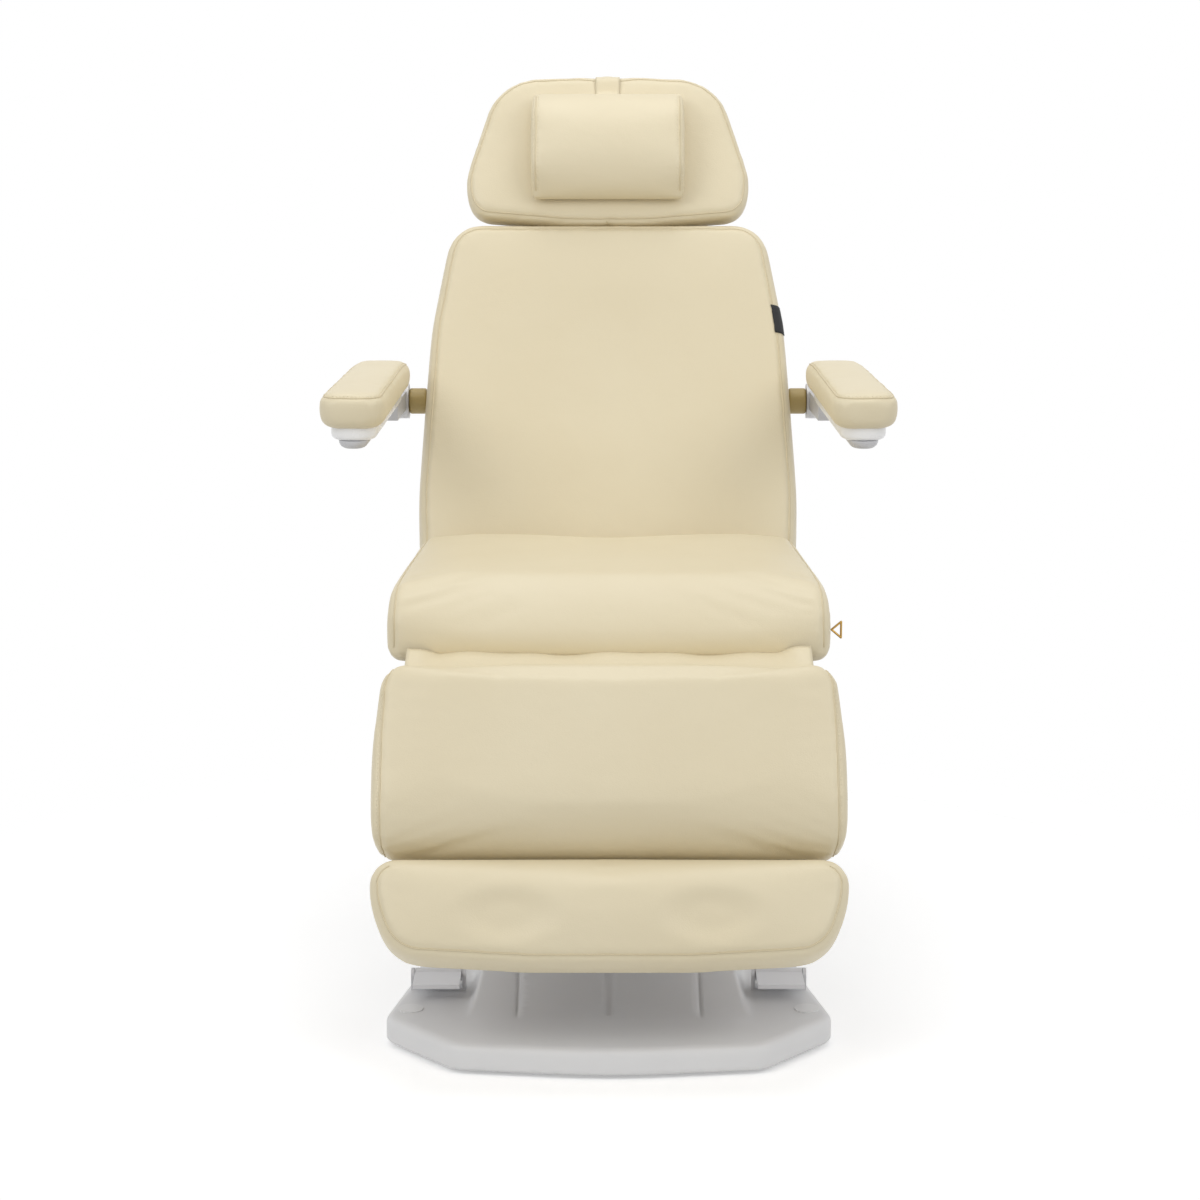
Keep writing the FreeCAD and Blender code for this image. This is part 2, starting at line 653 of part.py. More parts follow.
def hinge_pin(y, z):
    """Headed pin through the seat's outer ear and the swinging ear inside it."""
    start = SWING_OUTER - EAR_THICK - SIDE_PLAY
    shank = rod((start, y, z), (RAIL_OUTER, y, z), PIN_RADIUS)
    head = rod((RAIL_OUTER, y, z), (RAIL_OUTER + PIN_HEAD_THICK, y, z), PIN_HEAD_RADIUS)
    return join(shank, head)


def bush(y, z):
    start = (SWING_OUTER - EAR_THICK, y, z)
    return sleeve(start, (SWING_OUTER, y, z), PIN_RADIUS + RUNNING + BUSH_WALL, PIN_RADIUS + RUNNING)


def make_seat():
    profile = [
        (SEAT_FRONT_Y, SEAT_Z0, CUSHION_ROUND),
        (SEAT_LOW_REAR_Y, SEAT_Z0, 0),
        (SEAT_REAR_Y, BED_TOP, SEAT_REAR_ROUND),
        (SEAT_FRONT_Y, BED_TOP, SEAT_FRONT_ROUND),
    ]
    corner = CUSHION_ROUND
    plan = both_halves([(SEAT_FRONT_HALF, SEAT_FRONT_Y, corner), (SEAT_REAR_HALF, SEAT_REAR_Y, corner)])
    cushion = prism_x(profile, -SEAT_FRONT_HALF, SEAT_FRONT_HALF)
    save("seat_cushion", cushion.common(prism_z(plan, SEAT_Z0, BED_TOP)))

    board_front = SEAT_FRONT_Y + SEAT_BOARD_FRONT_INSET
    board_rear = SEAT_LOW_REAR_Y - SEAT_BACK_GAP
    board = both_halves([
        (seat_half(board_front) - BOARD_INSET, board_front, corner),
        (seat_half(board_rear) - BOARD_INSET, board_rear, corner),
    ])
    save("seat_board", prism_z(board, SEAT_FRAME_TOP, SEAT_Z0))

    inner = RAIL_OUTER - RAIL_WIDE
    ear_x0 = RAIL_OUTER - EAR_THICK
    rail_lo = (inner, SEAT_RAIL_FRONT_Y, SEAT_FRAME_Z0)
    rail = tube(rail_lo, (RAIL_OUTER, SEAT_RAIL_REAR_Y, SEAT_FRAME_TOP), TUBE_WALL, 1)
    front_lo = (ear_x0, LEG_HINGE_Y, LEG_HINGE_Z - EAR_RADIUS)
    front_ear = box(front_lo, (RAIL_OUTER, SEAT_RAIL_FRONT_Y + EAR_RADIUS, SEAT_FRAME_TOP))
    rear_ear = prism_x([
        (SEAT_RAIL_REAR_Y - EAR_RADIUS, SEAT_FRAME_Z0, 0),
        (BACK_HINGE_Y, SEAT_FRAME_Z0, 0),
        (BACK_HINGE_Y + EAR_RADIUS, BACK_HINGE_Z, 0),
        (BACK_HINGE_Y - EAR_RADIUS / 2, BACK_HINGE_Z, 0),
        (BACK_HINGE_Y - REAR_EAR_FRONT, SEAT_FRAME_Z0 + REAR_EAR_NECK, 0),
        (SEAT_RAIL_REAR_Y - EAR_RADIUS, SEAT_FRAME_Z0 + REAR_EAR_NECK, 0),
    ], ear_x0, RAIL_OUTER)
    side = join(rail, front_ear, rear_ear)
    for y, z in ((LEG_HINGE_Y, LEG_HINGE_Z), (BACK_HINGE_Y, BACK_HINGE_Z)):
        side = join(side, rod((ear_x0, y, z), (RAIL_OUTER, y, z), EAR_RADIUS))
        side = side.cut(rod((ear_x0, y, z), (RAIL_OUTER, y, z), PIN_RADIUS))
    pieces = [side, mirror(side)]
    for y in (SEAT_FRONT_TUBE_Y, SEAT_REAR_TUBE_Y):
        tube_hi = (inner, y + CROSS_TUBE_WIDE, SEAT_FRAME_TOP)
        pieces.append(tube((-inner, y, SEAT_FRAME_Z0), tube_hi, TUBE_WALL, 0))
    save("seat_frame", join(*pieces))
    pins = [hinge_pin(LEG_HINGE_Y, LEG_HINGE_Z), hinge_pin(BACK_HINGE_Y, BACK_HINGE_Z)]
    save("hinge_pins", *pins, *[mirror(pin) for pin in pins])

    plate_lo = (-PLATE_HALF, SEAT_FRONT_TUBE_Y, PLATE_Z0)
    save("top_plate", box(plate_lo, (PLATE_HALF, PLATE_REAR_Y, SEAT_FRAME_Z0)))

    def bolt(x, y):
        return rod((x, y, PLATE_Z0 - BOLT_HEAD), (x, y, PLATE_Z0), BOLT_RADIUS)

    front_row = SEAT_FRONT_TUBE_Y + CROSS_TUBE_WIDE / 2
    rear_row = SEAT_REAR_TUBE_Y + CROSS_TUBE_WIDE / 2
    save("seat_bolts", *[bolt(x, y) for x in (-BOLT_X, BOLT_X) for y in (front_row, rear_row)])

    edge_x = seat_half(RING_Y) + SOFT_GAP + RING_WIRE
    corners = [
        (edge_x, RING_Y, RING_Z),
        (edge_x + RING_OUT, RING_Y, RING_Z - RING_HIGH / 2),
        (edge_x + RING_OUT, RING_Y, RING_Z + RING_HIGH / 2),
    ]
    wires = [Part.makeSphere(RING_WIRE, Vec(*point)) for point in corners]
    for i, point in enumerate(corners):
        wires.append(rod(corners[i - 1], point, RING_WIRE))
    save("accessory_ring", join(*wires))


# Drives under the seat
def lever_half_swing(angle):
    return math.radians(angle) / 2


def rod_travel(angle):
    """How far each side of the hinge a drive rod's pin goes for a section's whole swing."""
    return LEVER_DROP * math.tan(lever_half_swing(angle))


def capsule(x0, x1, start, end, radius):
    """Bar along X with the section of a line thickened by a radius."""
    along = (Vec(0, end[0], end[1]) - Vec(0, start[0], start[1])).normalize()
    across = Vec(0, -along.z, along.y) * radius
    sides = []
    for point, sign in ((start, 1), (end, 1), (end, -1), (start, -1)):
        sides.append((point[0] + sign * across.y, point[1] + sign * across.z, 0))
    ends = [rod((x0, y, z), (x1, y, z), radius) for y, z in (start, end)]
    return join(prism_x(sides, x0, x1), *ends)


def lever(hinge_y, hinge_z, angle, middle_x):
    """Slotted lever plates below a hinge, drawn with the section flat."""
    half = lever_half_swing(angle)
    toward = (-math.sin(half), -math.cos(half))
    far = LEVER_DROP / math.cos(half) + SLOT_PLAY

    def at(reach):
        return (hinge_y + reach * toward[0], hinge_z + reach * toward[1])

    plates = []
    for x0 in (middle_x - LEVER_GAP / 2 - LEVER_THICK, middle_x + LEVER_GAP / 2):
        plate = capsule(x0, x0 + LEVER_THICK, at(LEVER_ROOT), at(far), LEVER_HALF)
        slot_start = at(LEVER_DROP - SLOT_PLAY)
        slot = capsule(x0, x0 + LEVER_THICK, slot_start, at(far), ROD_PIN_RADIUS + SLOT_PLAY)
        plates.append(plate.cut(slot))
    return plates


def drive(name, x, outward, hinge_y, hinge_z, angle, gear_y, mouth_y):
    """Actuator under the seat whose rod pushes a section's lever; outward is the rod's way along Y.
    The back's rod is out while the back is up, and the leg's rod is in while the leg hangs."""
    z = hinge_z - LEVER_DROP
    pin_y = hinge_y + rod_travel(angle)
    gear_end = gear_y + outward * GEAR_BLOCK_LONG
    side = math.copysign(1, x)
    motor_x = x + side * ACTUATOR_MOTOR_SPACING
    block_x = sorted((x - side * ACTUATOR_RADIUS, motor_x + side * ACTUATOR_MOTOR_RADIUS))
    block_y = sorted((gear_y, gear_end))
    block = box((block_x[0], block_y[0], z - ACTUATOR_RADIUS), (block_x[1], block_y[1], PLATE_Z0))
    motor_end = gear_end + outward * ACTUATOR_MOTOR_LONG
    motor = rod((motor_x, gear_end, z), (motor_x, motor_end, z), ACTUATOR_MOTOR_RADIUS)
    barrel = sleeve((x, gear_end, z), (x, mouth_y, z), ACTUATOR_RADIUS, ROD_RADIUS + RUNNING)
    save(name + "_actuator", join(block, motor, barrel))
    still_to_go = 0 if outward > 0 else 2 * rod_travel(angle)
    rod_end = mouth_y - outward * (ROD_INSIDE + still_to_go)
    eye_half = LEVER_GAP / 2 - SIDE_PLAY
    pin_half = LEVER_GAP / 2 + LEVER_THICK
    shaft = rod((x, rod_end, z), (x, pin_y, z), ROD_RADIUS)
    eye = rod((x - eye_half, pin_y, z), (x + eye_half, pin_y, z), EYE_RADIUS)
    pin = rod((x - pin_half, pin_y, z), (x + pin_half, pin_y, z), ROD_PIN_RADIUS)
    save(name + "_rod", join(shaft, eye, pin))


def make_drives():
    front = TRAY_FRONT_Y + TRAY_WALL + SIDE_PLAY
    rear = TRAY_REAR_Y - TRAY_WALL - SIDE_PLAY
    drive("back", ACTUATOR_X, 1, BACK_HINGE_Y, BACK_HINGE_Z, BACK_ANGLE, front, rear)
    drive("leg", -ACTUATOR_X, -1, LEG_HINGE_Y, LEG_HINGE_Z, LEG_ANGLE, rear, front)

    tray = box((-PLATE_HALF, TRAY_FRONT_Y, TRAY_Z0), (PLATE_HALF, TRAY_REAR_Y, PLATE_Z0))
    room = PLATE_HALF - TRAY_WALL
    room_lo = (-room, TRAY_FRONT_Y + TRAY_WALL, TRAY_Z0 + TRAY_WALL)
    tray = tray.cut(box(room_lo, (room, TRAY_REAR_Y - TRAY_WALL, PLATE_Z0)))
    column = COLUMN_SIDE / 2 - 2 * (COLUMN_WALL + COLUMN_GAP) + COLUMN_GAP
    tray = tray.cut(box((-column, -column, TRAY_Z0), (column, column, PLATE_Z0)))
    for x, y, z in (
        (ACTUATOR_X, TRAY_REAR_Y, BACK_HINGE_Z - LEVER_DROP),
        (-ACTUATOR_X, TRAY_FRONT_Y, LEG_HINGE_Z - LEVER_DROP),
    ):
        tray = tray.cut(rod((x, y - TRAY_WALL, z), (x, y + TRAY_WALL, z), EYE_RADIUS))
    save("seat_tray", tray)


# Back and head, drawn flat
def back_plan(inset, start, end):
    return both_halves([
        (BACK_LOW_HALF - inset, BACK_HINGE_Y + start, CUSHION_ROUND),
        (BACK_WIDE_HALF - inset, BACK_HINGE_Y + BACK_WIDE_AT, BACK_SIDE_ROUND),
        (BACK_MID_HALF - inset, BACK_HINGE_Y + BACK_MID_AT, BACK_SIDE_ROUND),
        (BACK_TOP_HALF - inset, BACK_HINGE_Y + end, BACK_TOP_ROUND),
    ])


def hinge_ear(y, z, neck_lo, neck_hi):
    """Swinging ear with its neck, bored for a bush."""
    inner = SWING_OUTER - EAR_THICK
    neck = box((inner, *neck_lo), (SWING_OUTER, *neck_hi))
    ear = join(rod((inner, y, z), (SWING_OUTER, y, z), EAR_RADIUS), neck)
    return ear.cut(rod((inner, y, z), (SWING_OUTER, y, z), PIN_RADIUS + RUNNING + BUSH_WALL))


def make_back():
    cushion = prism_z(back_plan(0, BACK_START, BACK_END), BED_TOP - BACK_THICK, BED_TOP)
    save("back_cushion", sit_back(soften(cushion, CUSHION_ROUND, BED_TOP)))
    board = back_plan(BOARD_INSET, BACK_FRAME_START, BACK_END - BOARD_INSET)
    save("back_board", sit_back(prism_z(board, BACK_BOARD_Z0, BED_TOP - BACK_THICK)))
    cover = back_plan(BACK_COVER_INSET, BACK_COVER_START, BACK_FRAME_END)
    save("back_cover", sit_back(prism_z(cover, BACK_FRAME_Z0 - BACK_COVER_THICK, BACK_FRAME_Z0)))

    inner = SWING_OUTER - RAIL_WIDE
    start = BACK_HINGE_Y + BACK_FRAME_START
    end = BACK_HINGE_Y + BACK_FRAME_END
    pivot = (BACK_HINGE_Y + ARM_PIVOT_AT, BACK_FRAME_Z0 + FRAME_HIGH / 2)
    rail = tube((inner, start, BACK_FRAME_Z0), (SWING_OUTER, end, BACK_BOARD_Z0), TUBE_WALL, 1)
    rail = rail.cut(rod((inner, *pivot), (SWING_OUTER, *pivot), ARM_SHAFT_RADIUS))
    neck_lo = (BACK_HINGE_Y + PIN_RADIUS + BUSH_WALL, BACK_FRAME_Z0)
    ear = hinge_ear(BACK_HINGE_Y, BACK_HINGE_Z, neck_lo, (start + EAR_RADIUS, BACK_BOARD_Z0))
    side = join(rail, ear)
    pieces = [side, mirror(side)]
    for y in (start, end - CROSS_TUBE_WIDE):
        tube_hi = (inner, y + CROSS_TUBE_WIDE, BACK_BOARD_Z0)
        pieces.append(tube((-inner, y, BACK_FRAME_Z0), tube_hi, TUBE_WALL, 0))
    for plate in lever(BACK_HINGE_Y, BACK_HINGE_Z, BACK_ANGLE, ACTUATOR_X):
        lo = (plate.BoundBox.XMin, BACK_HINGE_Y, BACK_FRAME_Z0)
        pieces += [plate, box(lo, (plate.BoundBox.XMax, start, BACK_BOARD_Z0))]
    save("back_frame", sit_back(join(*pieces)))
    ring = bush(BACK_HINGE_Y, BACK_HINGE_Z)
    save("back_bushes", sit_back(ring), sit_back(mirror(ring)))

    shaft_end = ARM_HUB_INNER + ARM_HUB_WIDE + SIDE_PLAY
    save("arm_shaft", sit_back(rod((-shaft_end, *pivot), (shaft_end, *pivot), ARM_SHAFT_RADIUS)))
    sleeve_end = (ARM_HUB_INNER - SOFT_GAP, *pivot)
    cuff = sleeve((ARM_SLEEVE_INNER, *pivot), sleeve_end, ARM_SLEEVE_RADIUS, ARM_SHAFT_RADIUS + SOFT_GAP)
    save("arm_sleeves", sit_back(cuff), sit_back(mirror(cuff)))

    edge_drop = (BACK_MID_HALF - BACK_TOP_HALF) / (BACK_END - BACK_MID_AT)
    tag_end = TAG_START + TAG_LONG
    tag_low = BACK_MID_HALF - edge_drop * (TAG_START - BACK_MID_AT) + SOFT_GAP
    tag_high = BACK_MID_HALF - edge_drop * (tag_end - BACK_MID_AT) + SOFT_GAP
    tag = prism_z([
        (tag_low, BACK_HINGE_Y + TAG_START, 0),
        (tag_low + TAG_WIDE, BACK_HINGE_Y + TAG_START, 0),
        (tag_high + TAG_WIDE, BACK_HINGE_Y + tag_end, 0),
        (tag_high, BACK_HINGE_Y + tag_end, 0),
    ], BED_TOP - TAG_DEPTH - TAG_THICK, BED_TOP - TAG_DEPTH)
    save("side_tag", sit_back(tag))

    ear_x0 = HEAD_ARM_INNER + HEAD_ARM_WIDE + 2 * SIDE_PLAY
    ear_x1 = ear_x0 + EAR_THICK
    hinge = (HEAD_HINGE_Y, HEAD_HINGE_Z)
    lug = box((ear_x0, end, HEAD_HINGE_Z - HEAD_BARREL_RADIUS), (ear_x1, HEAD_HINGE_Y, BACK_BOARD_Z0))
    lug = join(lug, rod((ear_x0, *hinge), (ear_x1, *hinge), HEAD_BARREL_RADIUS))
    shaft = rod((-ear_x1, *hinge), (ear_x1, *hinge), HEAD_SHAFT_RADIUS)
    save("head_bracket", sit_back(join(lug, mirror(lug), shaft)))


def make_head():
    low = BACK_HINGE_Y + HEAD_START
    end = BACK_HINGE_Y + HEAD_END

    def plan(inset):
        return both_halves([
            (HEAD_LOW_HALF - inset, low + inset, HEAD_LOW_ROUND),
            (HEAD_WIDE_HALF - inset, low + HEAD_WIDE_AT, HEAD_SIDE_ROUND),
            (HEAD_TOP_HALF - inset, end - inset, HEAD_TOP_ROUND),
        ])

    cushion_z0 = BED_TOP - HEAD_THICK
    save("head_cushion", sit_back(soften(prism_z(plan(0), cushion_z0, BED_TOP), CUSHION_ROUND, BED_TOP)))
    save("head_board", sit_back(prism_z(plan(HEAD_BOARD_INSET), HEAD_BOARD_Z0, cushion_z0)))

    hinge = (HEAD_HINGE_Y, HEAD_HINGE_Z)
    reach = HEAD_ARM_INNER + HEAD_ARM_WIDE + SIDE_PLAY
    arm_lo = (HEAD_ARM_INNER, HEAD_HINGE_Y, HEAD_BOARD_Z0 - FRAME_HIGH)
    arm_hi = (HEAD_ARM_INNER + HEAD_ARM_WIDE, end - HEAD_ARM_SHORT, HEAD_BOARD_Z0)
    arm = tube(arm_lo, arm_hi, TUBE_WALL, 1)
    frame = join(arm, mirror(arm), rod((-reach, *hinge), (reach, *hinge), HEAD_BARREL_RADIUS))
    frame = frame.cut(rod((-reach, *hinge), (reach, *hinge), HEAD_SHAFT_RADIUS + RUNNING))
    save("head_frame", sit_back(frame))

    pillow_z0 = BED_TOP + SOFT_GAP
    pillow_y0 = low + PILLOW_START
    pillow_y1 = pillow_y0 + PILLOW_LONG
    ends = (Vec(-PILLOW_HALF, pillow_y0, pillow_z0), Vec(-PILLOW_HALF, pillow_y1, pillow_z0))
    crown = Vec(-PILLOW_HALF, (pillow_y0 + pillow_y1) / 2, pillow_z0 + PILLOW_THICK)
    bow = Part.Wire([Part.Arc(ends[0], crown, ends[1]).toShape(), Part.makeLine(ends[1], ends[0])])
    save("head_pillow", sit_back(Part.Face(bow).extrude(Vec(2 * PILLOW_HALF, 0, 0))))

    outer_end = end + SOFT_GAP + STRAP_THICK
    under = cushion_z0 - SOFT_GAP - STRAP_THICK
    over = BED_TOP + SOFT_GAP + STRAP_THICK
    tail = end - HEAD_BOARD_INSET + SOFT_GAP
    band = box((-STRAP_HALF, tail, under), (STRAP_HALF, outer_end, over))
    inside_hi = (STRAP_HALF, end + SOFT_GAP, over - STRAP_THICK)
    band = band.cut(box((-STRAP_HALF, tail, under + STRAP_THICK), inside_hi))
    lead = box((-STRAP_HALF, pillow_y1 + SOFT_GAP, over - STRAP_THICK), (STRAP_HALF, tail, over))
    save("pillow_strap", sit_back(join(band, lead)))


# Leg and foot, drawn flat and reaching towards -Y
def leg_plan(start, length, inset, low_corner):
    near = LEG_HINGE_Y - start - inset
    far = LEG_HINGE_Y - start - length + inset
    return both_halves([(LEG_HALF - inset, far, low_corner), (LEG_HALF - inset, near, LEG_CORNER)])


def make_leg():
    cushion_z0 = BED_TOP - LEG_THICK
    foot_start = LEG_START + LEG_LONG + FOOT_GAP
    for name, start, length, low_corner in (
        ("leg", LEG_START, LEG_LONG, LEG_CORNER),
        ("foot", foot_start, FOOT_LONG, FOOT_CORNER),
    ):
        cushion = prism_z(leg_plan(start, length, 0, low_corner), cushion_z0, BED_TOP)
        save(name + "_cushion", hang_leg(soften(cushion, CUSHION_ROUND, BED_TOP)))
        board = prism_z(leg_plan(start, length, FOOT_BAR_INSET, low_corner), LEG_BOARD_Z0, cushion_z0)
        save(name + "_board", hang_leg(board))

    inner = SWING_OUTER - RAIL_WIDE
    near = LEG_HINGE_Y - LEG_FRAME_START
    far = near - LEG_FRAME_LONG
    rail = tube((inner, far, LEG_FRAME_Z0), (SWING_OUTER, near, LEG_BOARD_Z0), TUBE_WALL, 1)
    neck_lo = (near - EAR_RADIUS, LEG_HINGE_Z - EAR_RADIUS)
    neck_hi = (LEG_HINGE_Y - PIN_RADIUS - BUSH_WALL, LEG_HINGE_Z + EAR_RADIUS)
    ear = hinge_ear(LEG_HINGE_Y, LEG_HINGE_Z, neck_lo, neck_hi)
    side = join(rail, ear)
    pieces = [side, mirror(side)]
    for y in (far, near - CROSS_TUBE_WIDE):
        tube_hi = (inner, y + CROSS_TUBE_WIDE, LEG_BOARD_Z0)
        pieces.append(tube((-inner, y, LEG_FRAME_Z0), tube_hi, TUBE_WALL, 0))
    for plate in lever(LEG_HINGE_Y, LEG_HINGE_Z, LEG_ANGLE, -ACTUATOR_X):
        lo = (plate.BoundBox.XMin, near - CROSS_TUBE_WIDE, LEG_HINGE_Z - LEVER_ROOT)
        pieces += [plate, box(lo, (plate.BoundBox.XMax, LEG_HINGE_Y, LEG_HINGE_Z + LEVER_ROOT))]
    guide_half = FRAME_HIGH / 2
    slide_z = LEG_FRAME_Z0 + guide_half
    for x in (-SLIDE_X, SLIDE_X):
        lo = (x - guide_half, far + CROSS_TUBE_WIDE, LEG_FRAME_Z0)
        pieces.append(box(lo, (x + guide_half, near - CROSS_TUBE_WIDE, LEG_BOARD_Z0)))
    frame = join(*pieces)
    for x in (-SLIDE_X, SLIDE_X):
        bore_end = near - CROSS_TUBE_WIDE
        frame = frame.cut(rod((x, far, slide_z), (x, bore_end, slide_z), SLIDE_RADIUS + RUNNING))
    save("leg_frame", hang_leg(frame))
    cover_lo = (LEG_COVER_INSET - SWING_OUTER, far + LEG_COVER_INSET, LEG_FRAME_Z0 - LEG_COVER_THICK)
    cover_hi = (SWING_OUTER - LEG_COVER_INSET, near - CROSS_TUBE_WIDE - SIDE_PLAY, LEG_FRAME_Z0)
    save("leg_cover", hang_leg(box(cover_lo, cover_hi)))
    ring = bush(LEG_HINGE_Y, LEG_HINGE_Z)
    save("leg_bushes", hang_leg(ring), hang_leg(mirror(ring)))

    foot_near = LEG_HINGE_Y - foot_start - FOOT_BAR_INSET
    foot_far = LEG_HINGE_Y - foot_start - FOOT_LONG + 2 * FOOT_BAR_INSET
    slides = []
    for y in (foot_near - FRAME_HIGH, foot_far):
        bar_hi = (FOOT_BAR_HALF, y + FRAME_HIGH, LEG_BOARD_Z0)
        slides.append(box((-FOOT_BAR_HALF, y, LEG_FRAME_Z0), bar_hi))
    for x in (-SLIDE_X, SLIDE_X):
        slide_end = (x, foot_near + FOOT_TRAVEL + SLIDE_ENGAGED, slide_z)
        slides.append(rod((x, foot_far, slide_z), slide_end, SLIDE_RADIUS))
    save("foot_slides", hang_leg(join(*slides)))


# Arms
def lay_arm(shape):
    """Turn an arm drawn level and straight into its slope and outward splay."""
    heel = Vec(ARM_REAR_INNER, ARM_REAR_Y, ARM_TOP)
    return shape.rotated(heel, Vec(1, 0, 0), ARM_SLOPE).rotated(heel, Vec(0, 0, 1), ARM_SPLAY)


def arm_plan(inset, wide, corner):
    x0 = ARM_REAR_INNER + (PAD_WIDE - wide) / 2
    front = ARM_REAR_Y - ARM_LONG + inset
    rear = ARM_REAR_Y - inset
    x1 = x0 + wide
    return [(x0, front, corner), (x1, front, corner), (x1, rear, corner), (x0, rear, corner)]


def make_arms():
    pad_z0 = ARM_TOP - PAD_THICK
    shell_z0 = pad_z0 - SHELL_THICK
    pad = soften(prism_z(arm_plan(0, PAD_WIDE, ARM_CORNER), pad_z0, ARM_TOP), PAD_ROUND, ARM_TOP)
    lip = (PAD_WIDE - SHELL_WIDE) / 2
    shell = prism_z(arm_plan(lip, SHELL_WIDE, ARM_CORNER - lip), shell_z0, pad_z0)
    belly_front = ARM_REAR_Y - ARM_LONG + BELLY_FRONT_INSET
    belly_rear = ARM_REAR_Y - BELLY_START
    belly_x0 = ARM_REAR_INNER + (PAD_WIDE - BELLY_WIDE) / 2
    belly = prism_x([
        (belly_front, shell_z0, 0),
        (belly_front, shell_z0 - BELLY_DEEP, BELLY_ROUND),
        (belly_rear - ARM_LONG / 2, shell_z0 - BELLY_DEEP, BELLY_LONG_ROUND),
        (belly_rear, shell_z0, 0),
    ], belly_x0, belly_x0 + BELLY_WIDE)

    hub_outer = ARM_HUB_INNER + ARM_HUB_WIDE
    beam_x0 = ARM_HUB_INNER + ARM_BEAM_INSET
    beam_lo = (beam_x0, belly_rear, shell_z0 - ARM_HUB_RADIUS)
    beam = box(beam_lo, (hub_outer - SIDE_PLAY, ARM_PIVOT_Y, shell_z0))
    hub_start = (ARM_HUB_INNER, ARM_PIVOT_Y, ARM_PIVOT_Z)
    hub_end = (hub_outer, ARM_PIVOT_Y, ARM_PIVOT_Z)
    hub = rod(hub_start, hub_end, ARM_HUB_RADIUS)
    bore = rod(hub_start, hub_end, ARM_SHAFT_RADIUS + RUNNING)
    bracket = join(lay_arm(beam), hub).cut(bore)
    body = join(shell, belly)
    for name, shape in (("arm_pad", lay_arm(pad)), ("arm_shell", lay_arm(body)), ("arm_bracket", bracket)):
        save("right_" + name, shape)
        save("left_" + name, mirror(shape))


os.makedirs("parts", exist_ok=True)
make_base()
make_pedals()
make_column()
make_seat()
make_drives()
make_back()
make_head()
make_leg()
make_arms()
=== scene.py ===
import json
import math

import bmesh
import bpy
import numpy as np
from mathutils import Matrix, Vector, noise
from mathutils.bvhtree import BVHTree


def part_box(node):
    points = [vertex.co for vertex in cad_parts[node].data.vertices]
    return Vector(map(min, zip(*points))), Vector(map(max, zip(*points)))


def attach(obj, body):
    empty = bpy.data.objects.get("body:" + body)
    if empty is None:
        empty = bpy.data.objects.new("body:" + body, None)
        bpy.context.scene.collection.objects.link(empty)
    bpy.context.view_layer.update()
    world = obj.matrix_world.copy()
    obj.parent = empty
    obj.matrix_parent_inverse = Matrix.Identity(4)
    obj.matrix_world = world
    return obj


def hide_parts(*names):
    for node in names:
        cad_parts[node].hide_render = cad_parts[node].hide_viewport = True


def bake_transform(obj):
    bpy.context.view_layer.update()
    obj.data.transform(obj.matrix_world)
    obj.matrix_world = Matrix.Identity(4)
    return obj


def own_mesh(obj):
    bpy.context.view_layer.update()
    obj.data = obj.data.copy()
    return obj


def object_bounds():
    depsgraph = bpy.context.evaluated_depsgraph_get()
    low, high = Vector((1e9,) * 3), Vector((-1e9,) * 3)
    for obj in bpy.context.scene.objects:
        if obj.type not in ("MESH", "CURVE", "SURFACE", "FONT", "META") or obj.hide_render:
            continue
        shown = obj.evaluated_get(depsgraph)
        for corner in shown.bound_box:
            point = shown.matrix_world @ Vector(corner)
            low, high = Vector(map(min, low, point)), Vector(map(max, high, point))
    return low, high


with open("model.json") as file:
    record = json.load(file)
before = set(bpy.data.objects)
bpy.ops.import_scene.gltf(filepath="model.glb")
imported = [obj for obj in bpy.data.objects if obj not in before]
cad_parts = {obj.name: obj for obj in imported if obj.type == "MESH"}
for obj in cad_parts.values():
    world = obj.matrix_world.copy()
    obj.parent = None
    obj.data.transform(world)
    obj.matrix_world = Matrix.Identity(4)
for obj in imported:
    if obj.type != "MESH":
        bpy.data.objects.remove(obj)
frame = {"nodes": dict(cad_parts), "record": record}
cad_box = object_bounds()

# An electric procedure chair. Metres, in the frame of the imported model: +Z up, the sitter faces -Y.
# The padded sections are shaped lying flat, as when the chair is a bed, and turned to their rest place.

SCENE = bpy.context.scene
JOINTS = {joint["name"]: joint for joint in frame["record"]["behaviour"]["joints"]}


# Places taken from the frame
def flat_to_rest(joint):
    """Turns a section from lying flat, at the end of its joint's range, to its rest place."""
    pivot = Matrix.Translation(joint["pos_m"])
    turn = Matrix.Rotation(-math.radians(joint["range_deg"][1]), 4, Vector(joint["axis"]))
    return pivot @ turn @ pivot.inverted()


ARM_SLOPE = 2.2
ARM_SPLAY = 2.9


def arm_turn(side):
    """Slope and outward splay of an arm drawn level and straight. side is 1 on the right, -1 on the left."""
    slope = Matrix.Rotation(math.radians(ARM_SLOPE), 4, "X")
    return Matrix.Rotation(side * math.radians(ARM_SPLAY), 4, "Z") @ slope


BACK_TURN = flat_to_rest(JOINTS["back_recline"])
LEG_TURN = flat_to_rest(JOINTS["leg_raise"])
LEVEL = Matrix.Identity(4)
SIDES = ((1, "right"), (-1, "left"))


def each_vertex(obj, what):
    found = np.empty(len(obj.data.vertices) * 3)
    obj.data.vertices.foreach_get(what, found)
    return found.reshape(-1, 3)


def points_of(obj):
    return each_vertex(obj, "co")


def normals_of(obj):
    return each_vertex(obj, "normal")


def set_points(obj, points):
    obj.data.vertices.foreach_set("co", np.ascontiguousarray(points, dtype=np.float32).ravel())
    obj.data.update()


def flat_box(node, turn):
    """Lowest and highest corner of a CAD node once its section lies flat."""
    back = np.asarray(turn.inverted())
    points = points_of(frame["nodes"][node]) @ back[:3, :3].T + back[:3, 3]
    return Vector(points.min(axis=0)), Vector(points.max(axis=0))


